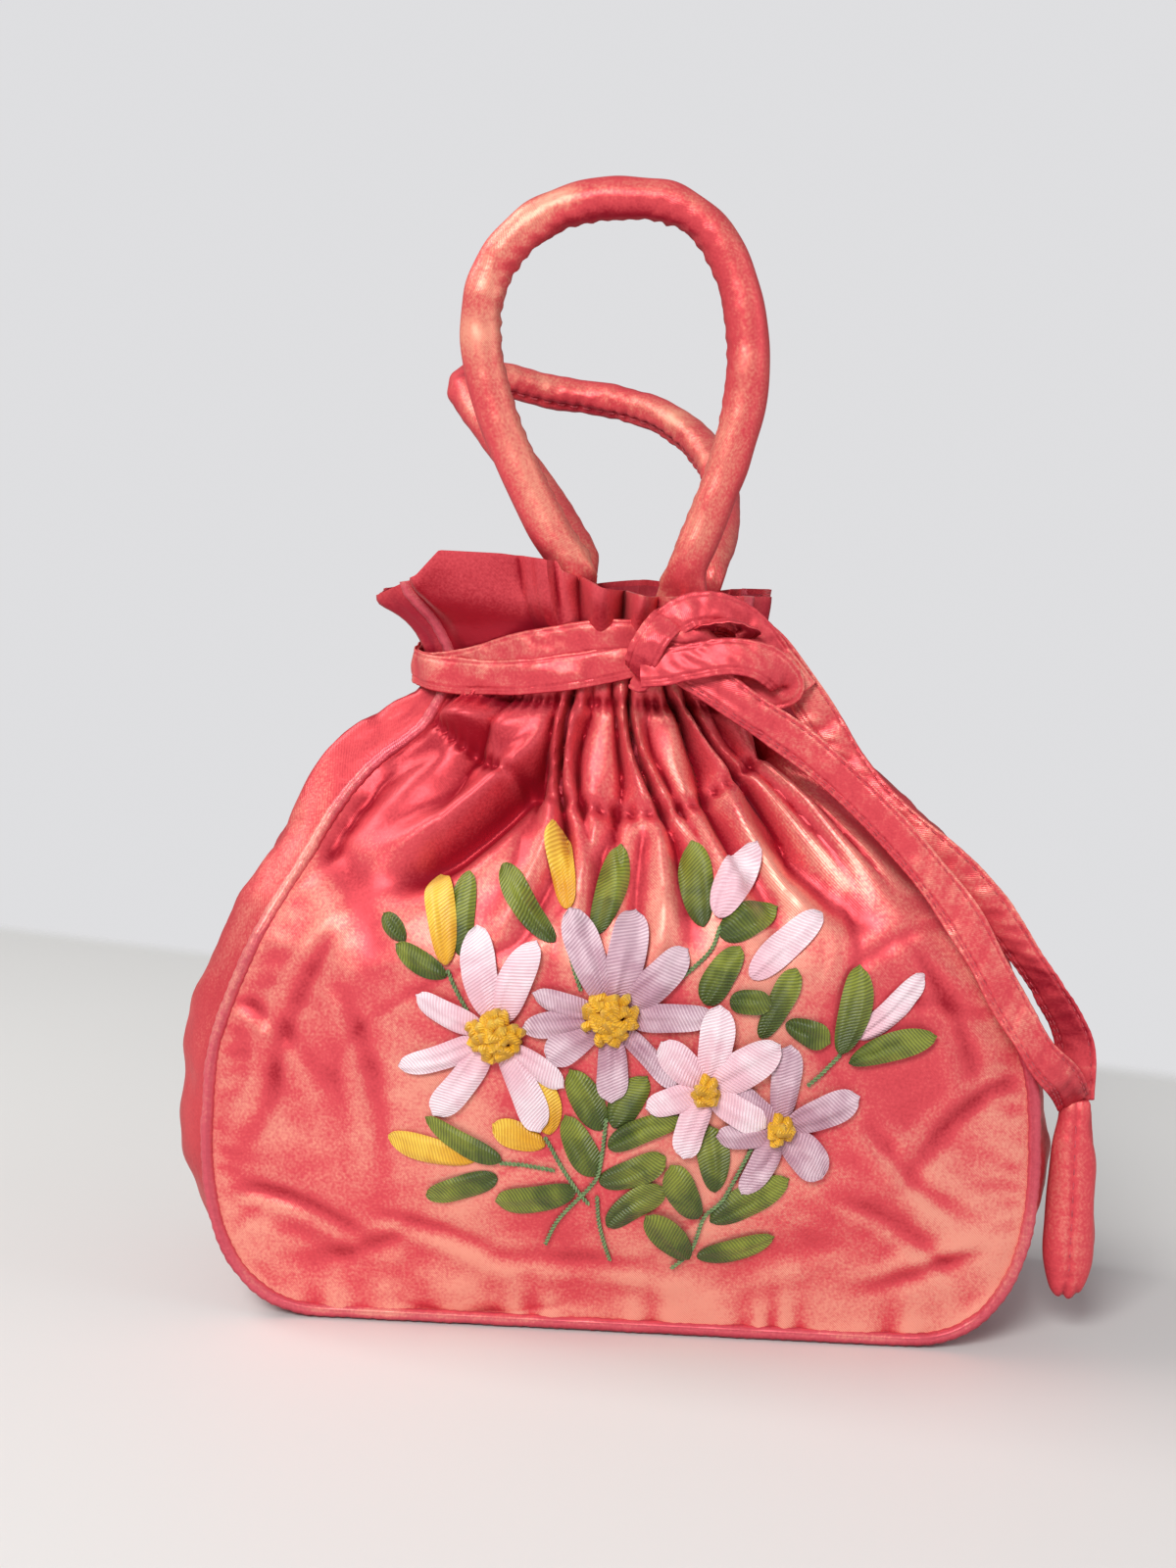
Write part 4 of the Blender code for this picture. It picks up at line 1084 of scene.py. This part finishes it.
def make_turn(outset, front_heights, seed, count):
    """One turn of the tie round the neck, its height at the front given against x, and level at the back."""
    outline = neck_outline(TURN_HEIGHT, outset, count)
    at_front = smooth((-outline[:, 1] + 6) / 14)
    level = BACK_HEIGHT + 1.2 * math.sin(seed)
    height = at_front * np.interp(outline[:, 0], *front_heights) + (1 - at_front) * level
    height = np.convolve(np.pad(height, 8, "edge"), np.ones(17) / 17, "valid")
    outline = settle(np.column_stack([outline, height]))[:, :2]
    line = np.column_stack([outline, height])
    flat = np.column_stack([unit(np.gradient(outline, axis=0)), np.zeros(count)])
    outward = np.stack([flat[:, 1], -flat[:, 0], flat[:, 2]], 1)
    first, second = frames_along(line, outward)
    return sweep(line, second, first, tie_section(line, seed, TIE_HALF, 0.25))


# Height of each turn at the front, against x
TURN_X = (-60, -50, -30, -8, 5, 20, 45)
UPPER_TURN = (TURN_X, (168.5, 169.0, 175.0, 179.4, 179.4, 177, 174))
LOWER_TURN = (TURN_X, (169.0, 167.5, 168.0, 171.6, 175.5, 174, 171))
turns = [make_turn(2.6, UPPER_TURN, 61, grid_count(300)), make_turn(3.7, LOWER_TURN, 62, grid_count(300))]
make_piece("neck_tie", turns, tie_satin, stands_for=("ribbon_band",))


# %% [markdown]
# Knot and bow
# The knot is a wide, flat lump of gathered strip with one wrap over it and a tuck at its right. Below it lies
# a flat bow loop, and above it an arch of strip that runs back to the neck. The lump is a ball squashed to
# size, with folds worked into its front, because nobody can see how a real knot goes on inside.


# %% Body of the knot
def make_knot(rows, columns):
    """The body of the knot: a wide, flat lump, drawn into slanted folds that meet at its left side.

    It is a squashed ball whose size goes up and down with the size of a sine of the slant.
    """
    polar = np.linspace(0.02, math.pi - 0.02, rows)[:, None]
    turn = np.linspace(0, 2 * math.pi, columns, endpoint=False)[None]
    x, y, z = np.sin(polar) * np.cos(turn), -np.sin(polar) * np.sin(turn), np.cos(polar) + 0 * turn
    slant = np.arctan2(z, x + 1.3)
    folds = 0.12 * (np.abs(np.sin(4.2 * slant + 0.5)) ** 0.7 - 0.6) + 0.04 * waves(x * 8, z * 8, 6, 71)
    size = 1 + folds * smooth(-y * 2 + 0.5)
    points = KNOT + np.stack([x * 8.6 * size, y * 3.6 * size, z * 5.0 * size], -1)
    uv = np.stack(np.broadcast_arrays(8 * polar, 6 * turn), -1)
    return tube(points, uv)


# %% Runs of the strip
def ribbon_run(points, count, seed, lead, bow, half=TIE_HALF, twist=None):
    """A run of the folded strip along points; lead is the side its width faces, twist turns it as it goes."""
    line = curve_through(points, count)
    first, second = frames_along(line, lead)
    if twist is not None:
        turn = np.interp(np.linspace(0, 1, count), *twist)[:, None]
        turned_first = first * np.cos(turn) + second * np.sin(turn)
        first, second = turned_first, second * np.cos(turn) - first * np.sin(turn)
    return line, first, second, sweep(line, second, first, tie_section(line, seed, half, bow))


WRAP = (
    (12, -33, 186), (9.5, -38.6, 184.6), (6.2, -41.6, 180.6), (3.6, -41.4, 175.6), (2.6, -37.5, 171.2),
    (3, -33, 170),
)
TUCK = (
    (17, -36, 180), (20, -39.6, 183.4), (25, -41, 184.6), (29.4, -39.6, 182.6), (28.6, -37, 179.8),
    (24, -36, 179),
)
knot_parts = [make_knot(grid_count(70), grid_count(90))]
knot_parts.append(ribbon_run(WRAP, grid_count(90), 72, (-0.2, -1, 0.2), 0.8, 4.4)[3])
knot_parts.append(ribbon_run(TUCK, grid_count(90), 73, (0, 0, 1), 0.4, 3.2)[3])
make_piece("tie_knot", knot_parts, tie_satin, stands_for=("ribbon_knot",))

BOW_LOOP = (
    (3.2, -40.6, 172.2), (9, -42, 173), (16, -42.6, 174.6), (25, -42.4, 176.2), (33, -41, 175),
    (38, -38, 171.6), (39.6, -35, 168.4), (35, -34.5, 167.2), (26, -35.5, 168), (17, -36, 169.5),
)
ARCH = (
    (7, -37.5, 179.5), (11, -38.8, 184.6), (17, -38.6, 187.6), (25, -36.8, 186.8), (32, -34.5, 181.6),
    (38, -32.5, 174.5), (44, -31.5, 167),
)
loops = [ribbon_run(BOW_LOOP, grid_count(120), 74, (0, -1, 0.15), 0.3)[3]]
loops.append(ribbon_run(ARCH, grid_count(110), 75, (0, -1, 0.3), 0.3, 4.4)[3])
make_piece("tie_loop", loops, tie_satin, stands_for=("bow_loop",))

# %% [markdown]
# The tails
# Both tails hang free from the knot to the drop. They could be let fall as a simulated cord, but the real
# ones lie in a known line past the side of the bag, so each is carried along its own points, turned a little
# as the real ones twist, and stitched at its edges.

# %% Routes and twists of the tails
OUTER_TAIL = (
    (18.5, -33.5, 184.6), (25, -32, 184), (36, -29.5, 177), (49, -29.5, 160), (60, -33, 144),
    (73, -37, 132.5), (87, -38.5, 121), (99, -38, 106.5), (110, -34, 91.5), (116.5, -29.8, 79),
    (117.8, -28.9, 63.9),
)
INNER_TAIL = (
    (9, -36.5, 174.5), (20, -40, 169.5), (30, -41, 163), (46, -40.5, 152.5), (64, -42.5, 137),
    (78, -44.5, 122), (87, -45.5, 110), (97, -46, 93), (106, -45.5, 79), (113, -39.5, 71),
    (116.9, -31.1, 63.9),
)
# Share of the length, and the turn there in radians
OUTER_TWIST = ((0, 0.12, 0.3, 0.5, 0.66, 0.8, 0.9, 1), (0.2, 0.0, -0.15, 0.1, 0.25, 0.6, 0.3, 0.1))
INNER_TWIST = ((0, 0.2, 0.4, 0.6, 0.8, 1), (-0.1, 0.1, 0.25, 0.05, -0.3, 0))


# %% Stitch the tails
EDGE_PITCH = 2.6


def edge_stitches(line, first, second):
    """Running stitches in the sunk lines of a strip, on the side that faces out."""
    distance = distance_along(line)
    at = np.arange(distance[0] + 2, distance[-1] - 2, EDGE_PITCH)
    tangent = unit(np.gradient(line, axis=0))
    threads = []
    for row in STITCH_LINES:
        lift = TIE_THICKNESS * 0.75 + 0.5 * (1 - row**2)
        places = line + second * (row * TIE_HALF) + first * lift
        picked = [sampled(values, distance, at) for values in (places, tangent, first)]
        threads.append(capsules(*picked, 1.6, 0.13))
    return threads


def make_tail(name, points, node, seed, twist):
    """A tail of the tie, carried along its route at the tie's flat width, with its edge stitches; its length
    is printed.
    """
    line, first, second, skin = ribbon_run(points, grid_count(260), seed, (0, -1, 0), 0.2, TIE_HALF, twist)
    tail = make_piece(name, [skin], tie_satin, stands_for=(node,))
    print(f"{name}: {distance_along(line)[-1]:.1f} mm long")
    return tail, line, edge_stitches(line, first, second)


outer_tail, outer_line, outer_threads = make_tail("long_tail", OUTER_TAIL, "outer_tail", 81, OUTER_TWIST)
inner_tail, inner_line, inner_threads = make_tail("short_tail", INNER_TAIL, "inner_tail", 84, INNER_TWIST)
make_piece("tail_stitches", outer_threads + inner_threads, sewing_thread)

# %% [markdown]
# The stuffed drop
# A small padded lobe of the same satin closes both tails. It is pinched where they go in, fullest below its
# middle, sewn down its front with a running stitch and nicked at its foot into two rounded lobes. A profile
# turned on an axis would be too even, so its rings are ovals from a table, moved by the seam and the slack.

# %% Shape of the drop
DROP_X, DROP_Y, DROP_HINGE = 117.5, -30.0, 59.0
# Height from the hinge, half width and half depth
DROP_PROFILE = (
    (5.6, 1.6, 1.0), (5.0, 3.4, 1.9), (2.5, 4.2, 2.6), (-1, 4.4, 3.1), (-8, 5.3, 3.9), (-18, 6.2, 4.3),
    (-28, 6.5, 4.4), (-36, 6.2, 4.2), (-42, 5.2, 3.5), (-45.5, 3.8, 2.6), (-47.2, 1.8, 1.2),
    (-47.6, 0.3, 0.3),
)


def make_drop(rows, columns):
    """A stuffed lobe over its profile, with a drawn-in front seam, puckers beside it and a nicked foot."""
    height, wide, deep = curve_through(DROP_PROFILE, rows).T[..., None]
    turn = np.linspace(0, 2 * math.pi, columns, endpoint=False)[None]
    x, y = wide * np.cos(turn), deep * np.sin(turn)
    front = smooth(-np.sin(turn) * 1.6)
    groove = bell(x / 0.9) * front
    pucker = np.sin(2 * math.pi * height / 4.2) * bell(x / 3.2) * front
    y = y + groove * 0.45 * smooth(deep / 2) + 0.07 * pucker
    slack = 0.25 * waves(height, turn * 4, 14, 91)
    foot = smooth((-38 - height) / 8)
    z = height + 1.3 * foot * bell((x + 0.6) / 0.9) + 0.8 * foot * bell((x - 2.6) / 0.8)
    points = np.stack([x * (1 + 0.04 * slack) + slack, y + 0.4 * slack, z + 0 * x], -1)
    points = points + (DROP_X, DROP_Y, DROP_HINGE)
    uv = np.stack(np.broadcast_arrays(height, 5 * turn), -1)
    return tube(points, uv)


# %% The drop and its stitches
drop = make_piece("stuffed_drop", [make_drop(grid_count(110), grid_count(72))], tie_satin,
                  body="drop", stands_for=("drop",))
down = np.arange(-2, -40, -3.6)
depth = np.interp(-down, [-h for h, _, _ in DROP_PROFILE], [d for _, _, d in DROP_PROFILE])
places = np.column_stack([np.full(len(down), DROP_X), DROP_Y - depth + 0.4, DROP_HINGE + down])
towards = np.tile((0.0, 0.0, 1.0), (len(down), 1))
facing = np.tile((0.0, -1.0, 0.0), (len(down), 1))
make_piece("drop_stitches", [capsules(places, towards, facing, 2.2, 0.22)], sewing_thread,
           body="drop")

# %% The tails' first points and lines in metres, worked out and not used
for tail, line in ((outer_tail, outer_line), (inner_tail, inner_line)):
    tuple(line[0] * MM)
    (line * MM).tolist()

# %% [markdown]
# Ribbon embroidery
# Every petal, bud and leaf is one stitch of narrow satin ribbon: it comes up gathered, widens and puffs over
# its own fullness, and is drawn down again at its tip. A flat leaf shape could be copied along the panel, but
# lengthwise creases, a slightly turned edge and a bend of its own keep each stitch from looking cut out.

# %% One stitch of ribbon
LAYER_RISE = 0.75
RIBBON_THICKNESS = 0.16


def ribbon_stitch(base, tip, width, layer, seed, pointed, puff=1.6):
    """One stitch: a grid from base to tip, narrow at both ends, puffed, creased lengthwise and a little bent.

    Its width follows the root of one less a power of the distance from its fullest place, and its lift off
    the panel is the root of a half sine along it times a parabola across it.
    """
    random = np.random.default_rng(seed)
    base, tip = np.array(base, float), np.array(tip, float)
    length = np.linalg.norm(tip - base)
    ahead = (tip - base) / length
    aside = np.array((-ahead[1], ahead[0]))
    a = np.linspace(0, 1, grid_count(26))[:, None]
    b = np.linspace(-1, 1, grid_count(15))[None]
    fullest = random.uniform(0.5, 0.62)
    from_middle = np.where(a < fullest, (fullest - a) / fullest, (a - fullest) / (1 - fullest))
    swell = np.clip(1 - from_middle ** (3.4 - pointed), 0.012, 1) ** 0.5
    half = width / 2 * swell
    bend = random.uniform(-0.05, 0.05) * length
    along = a * length + 0.5 * (1 - b**2) * smooth((a - 0.8) / 0.2)
    beside = b * half + bend * 4 * a * (1 - a) + 0.25 * np.sin(5 * a + seed) * b
    x = base[0] + ahead[0] * along + aside[0] * beside
    z = base[1] + ahead[1] * along + aside[1] * beside
    body = np.clip(np.sin(math.pi * np.clip(a * 0.94 + 0.03, 0, 1)), 0, 1) ** 0.55
    lift = 0.35 + layer * LAYER_RISE + puff * body * (1 - 0.75 * b**2)
    creases = np.sin(random.uniform(5, 7) * b + random.uniform(0, 6) + 1.2 * a)
    lift = lift + 0.32 * creases * (1 - 0.45 * a) * body
    lift = lift - 0.5 * bell((b - random.uniform(-0.4, 0.4)) / 0.16) * (1 - smooth((a - 0.35) / 0.5)) * body
    lift = lift + 0.55 * b**4 * smooth((a - 0.3) / 0.5) * random.uniform(0.2, 1.3)
    points = on_panel(x, z, np.maximum(lift, 0.15))
    uv = np.stack(np.broadcast_arrays(along, b * width / 2), -1)
    return slab(points, uv, RIBBON_THICKNESS)


# %% The centre of a flower
GOLDEN_TURN = 2.399963


def pile(place, radius, count, layer, seed):
    """A flower's centre: small folded ends of ribbon heaped towards the middle, each turned its own way.

    Their places follow a sunflower's spiral, each a golden turn on from the last.
    """
    random = np.random.default_rng(seed)
    share = np.sqrt((np.arange(count) + 0.5) / count)
    turn = np.arange(count) * GOLDEN_TURN + random.uniform(-0.3, 0.3, count)
    x = place[0] + radius * 0.92 * share * np.cos(turn)
    z = place[1] + radius * 0.92 * share * np.sin(turn)
    lift = 1.3 + layer * LAYER_RISE + 2.3 * (1 - share**2) + random.uniform(-0.3, 0.4, count)
    places = on_panel(x, z, lift)
    outward = unit(on_panel(x, z, lift + 1) - places)
    spin = random.uniform(0, 2 * math.pi, count)
    level = np.stack([np.cos(spin), np.zeros(count), np.sin(spin)], 1)
    along = unit(level - outward * (level * outward).sum(1, keepdims=True) + 0.35 * outward)
    return capsules(places, along, outward, 5.2, 1.45)


# %% Where the stitches go
# Centre x, z, centre radius, layer, the ribbon and its slot, and the petals as angle, length, width
DAISIES = {
    "left": ((-30, 80), 6.3, 1, pale_ribbon, "pale_ribbon", (
        (102, 27, 7.2), (68, 25.4, 7.2), (156, 22, 5.6), (201, 26, 5.8), (234, 25.7, 7), (296, 26.4, 6.8),
        (325, 21, 4.8))),
    "top": ((-1.3, 86.2), 6.5, 1, mauve_ribbon, "mauve_ribbon", (
        (114, 27.4, 7.2), (79, 26.5, 7.7), (43, 25, 7.2), (2, 25.3, 6.3), (314, 23.4, 4.8), (272, 21.3, 6.8),
        (217, 19, 7.2), (190, 22, 5.4), (165, 20, 5))),
    "middle": ((23, 68.5), 2.9, 2, pale_ribbon, "pale_ribbon", (
        (83, 21.5, 7.2), (134, 16.4, 6.8), (35, 21.2, 8.2), (198, 15.4, 6), (253, 17.6, 6.8),
        (329, 17, 6.8))),
    "right": ((41.5, 59), 2.9, 1, mauve_ribbon, "mauve_ribbon", (
        (85, 21.2, 6.3), (24, 21, 6.8), (312, 16, 7.7), (242, 18.7, 5.8), (188, 15.5, 6), (140, 15.2, 6.3))),
}
# Single stitches: base x, z, tip x, z, width, layer
PALE_BUDS = ((24, 111, 33, 127, 8, 1), (33, 97, 50, 112, 7, 0), (60, 82, 76, 98, 6, 0))
YELLOW_BUDS = (
    (-13, 112, -18, 131, 6, 0), (-43, 97, -48, 120, 7, 1), (-34, 48, -57, 52, 6, 0),
    (-17, 52, -30, 57, 6, 0), (-16, 55, -20, 70, 7, 0),
)
LEAVES = (
    (-39, 99, -39, 119, 6, 0), (-16, 104, -30, 121, 6, 0), (-6, 106, -1, 127, 7, 0), (21, 109, 17, 128, 7, 0),
    (-54, 102, -60, 108, 4, 0), (-43, 94, -56, 101, 5, 0), (25, 107, 39, 114, 7, 0), (22, 90, 30, 104, 7, 0),
    (28, 91, 38, 91, 6, 1), (36, 82, 44, 99, 6, 0), (42, 86, 53, 81, 6, 1), (56, 78, 60, 100, 7, 1),
    (58, 76, 79, 83, 6, 2), (-3, 57, -11, 72, 7, 0), (0, 58, 8, 71, 7, 0), (-4, 45, -12, 60, 7, 0),
    (-1, 53, 17, 61, 6, 1), (-3, 43, 13, 51, 7, 0), (-1, 31, 13, 43, 7, 0), (22, 35, 15, 49, 7, 1),
    (26, 42, 24, 59, 7, 0), (20, 23, 9, 35, 7, 1), (25, 34, 44, 46, 7, 0), (22, 23, 41, 30, 6, 0),
    (-28, 48, -47, 58, 5, 1), (-29, 43.5, -47, 37, 6, 0), (-9, 41, -29, 37, 7, 0),
)

print(sum(len(daisy[-1]) for daisy in DAISIES.values()), "petals and", len(LEAVES), "leaves")

# %% Work the flowers
# A stitch bulges past its drawn width, so petals and leaves get a little more than their tables say
PETAL_FULLNESS = 1.16
LEAF_FULLNESS = 1.12

for seed, (label, (middle, radius, layer, ribbon, slot, petals)) in enumerate(DAISIES.items(), 200):
    skins = []
    for number, (angle, length, width) in enumerate(petals):
        turn = math.radians(angle)
        ahead = np.array((math.cos(turn), math.sin(turn)))
        start, end = middle + ahead * radius * 0.55, middle + ahead * length
        over = layer + 0.22 * (number % 3)
        skins.append(ribbon_stitch(start, end, width * PETAL_FULLNESS, over, seed * 31 + number, 0.3))
    make_piece(f"flower_{label}_petals", skins, ribbon, stands_for=(f"daisy_{label}_petals",))
    heap = pile(middle, radius, int(1.5 * radius**1.65), layer, seed)
    make_piece(f"flower_{label}_centre", [heap], gold_ribbon,
               stands_for=(f"daisy_{label}_centre",))

# %% Work the buds and leaves
for label, stitches, ribbon, slot in (
    ("pale_bud", PALE_BUDS, pale_ribbon, "pale_ribbon"),
    ("yellow_bud", YELLOW_BUDS, yellow_ribbon, "yellow_ribbon"),
    ("leaf", LEAVES, green_ribbon, "green_ribbon"),
):
    for number, (base_x, base_z, tip_x, tip_z, width, layer) in enumerate(stitches, 1):
        seed = 400 + 7 * number + len(label)
        skin = ribbon_stitch((base_x, base_z), (tip_x, tip_z), width * LEAF_FULLNESS, layer, seed, 1.0, 1.2)
        make_piece(f"ribbon_{label}_{number}", [skin], ribbon, stands_for=(f"{label}_{number}",))

# %% [markdown]
# Stems
# The stems are fine two-ply thread, couched on the satin. A plain round cord would look like wire, so two
# strands are turned about each other along each stem's line.

# %% Stems
STEMS = (
    ((-42.8, 95.7), (-40, 90), (-36.5, 84)), ((-13.4, 107.4), (-11.5, 100), (-8.7, 91.9)),
    ((25.1, 109), (22.6, 102.9), (14.9, 95.4)), ((56.2, 77.9), (52, 73.5), (47.7, 69.8)),
    ((-17.2, 54.4), (-13.2, 47.8), (-8.2, 40.2), (-5.2, 36.6)), ((-28.3, 47.4), (-21, 47), (-13.9, 46)),
    ((-1.7, 60.2), (-3, 47.7), (-5, 42.6), (-13.2, 33), (-17.4, 23.9)),
    ((-3.7, 39.4), (-3, 31.5), (-0.2, 20.6)),
    ((34.8, 53.8), (28.3, 40.5), (23.4, 35.1), (20.1, 24.9), (14.4, 18.7)),
)
PLY_RADIUS = 0.3
PLY_PITCH = 2.1
STEM_LIFT = 0.75


def two_ply(points):
    """Two strands turned about each other along a line on the cloth."""
    plan = curve_through(points, 60)
    line = on_panel(plan[:, 0], plan[:, 1], STEM_LIFT)
    line = curve_through(line[::3], grid_count(int(4 * distance_along(line)[-1])))
    first, second = frames_along(line, (0, -1, 0.3))
    turn = 2 * math.pi * distance_along(line)[:, None] / PLY_PITCH
    ply = round_section(np.full((len(line), 1), PLY_RADIUS * 1.05), 7)
    strands = []
    for start in (0, math.pi):
        strand = line + PLY_RADIUS * (first * np.cos(turn + start) + second * np.sin(turn + start))
        strands.append(sweep(strand, first, second, ply))
    return strands


make_piece("stems", [strand for stem in STEMS for strand in two_ply(stem)], stem_thread)

# %% [markdown]
# The room
# A pale floor runs back to a soft edge against a plain grey background, and fades into it far from the bag.
# A curved backdrop would be simpler, but the real floor ends in an edge that slants across the picture. The
# strongest lamp stands in front and a little left, where it shows the folds. A weaker one high on the left
# rounds that side and throws the soft shadow to the right, and a faint one fills from the right.

# %% Floor
# Two places on the floor's far edge, in the picture
EDGE_LEFT, EDGE_RIGHT = (0, 940), (1200, 1090)
EDGE_SOFTNESS = 0.03
FADE_FROM, FADE_TO = 0.8, 3.0
FLOOR_DARK = (0.71, 0.705, 0.70, 1.0)
FLOOR_LIGHT = (0.75, 0.745, 0.74, 1.0)
left_edge, right_edge = seen_at(*EDGE_LEFT), seen_at(*EDGE_RIGHT)
reach = right_edge - left_edge
far_left, far_right = left_edge - 3 * reach, right_edge + 3 * reach
corners = [far_left, far_right, (3.0, -3.0, 0.0), (-3.0, -3.0, 0.0)]
floor_mesh = bpy.data.meshes.new("floor")
floor_mesh.from_pydata([tuple(c) for c in corners], [], [(0, 1, 2, 3)])
floor = bpy.data.objects.new("floor", floor_mesh)
bpy.context.scene.collection.objects.link(floor)

# %% Floor finish
paper = Finish("pale floor", Roughness=0.6)
towards_wall = np.array((-reach[1], reach[0], 0.0))
towards_wall /= np.linalg.norm(towards_wall)
floor_x, floor_y, _ = paper.parts_of(paper.place())
edge_at = float(left_edge @ towards_wall)
before_edge = edge_at - (floor_x * float(towards_wall[0]) + floor_y * float(towards_wall[1]))
near = 1 - (floor_x * floor_x + floor_y * floor_y).step(FADE_FROM, FADE_TO)
feed(paper.tree, paper.shader.inputs["Alpha"], before_edge.step(0.0, EDGE_SOFTNESS) * near)
paper.colour(paper.mix(paper.noise(paper.place(), 3.0), FLOOR_DARK, FLOOR_LIGHT))
floor_mesh.materials.append(paper.material)


# %% Lamps
def add_lamp(name, place, target, size, power, colour):
    """A square area lamp that looks at the target; its power is in watts."""
    data = bpy.data.lights.new(name, "AREA")
    data.size, data.energy, data.color = size, power, colour
    lamp = bpy.data.objects.new(name, data)
    bpy.context.scene.collection.objects.link(lamp)
    lamp.location = place
    lamp.rotation_euler = (Vector(target) - Vector(place)).to_track_quat("-Z", "Y").to_euler()
    print(f"{name} lamp: {power} W")


add_lamp("window", (-0.9, 0.1, 1.1), (0, 0, 0.1), 0.6, 9.0, (1.0, 0.98, 0.95))
add_lamp("front", (-0.5, -1.9, 1.35), (0, 0, 0.12), 0.85, 43.0, (1.0, 0.99, 0.97))
add_lamp("right", (1.3, -0.4, 0.6), (0, 0, 0.12), 0.9, 4.0, (0.96, 0.98, 1.0))

# %% Background
WALL_GREY = (0.735, 0.735, 0.75, 1.0)
FILL_GREY = (0.25, 0.255, 0.26, 1.0)
world = bpy.data.worlds.new("room")
world.use_nodes = True
bpy.context.scene.world = world
room = world.node_tree
background = room.nodes["Background"]
path = room.nodes.new("ShaderNodeLightPath")
shade = room.nodes.new("ShaderNodeMix")
shade.data_type = "RGBA"
room.links.new(path.outputs["Is Camera Ray"], shade.inputs[0])
shade.inputs[6].default_value = FILL_GREY
shade.inputs[7].default_value = WALL_GREY
room.links.new(shade.outputs[2], background.inputs["Color"])
bpy.context.scene.view_settings.view_transform = "Standard"

# %% Finish
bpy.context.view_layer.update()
total = sum(len(o.data.polygons) for o in bpy.data.objects if o.type == "MESH")
print("faces in all", total)
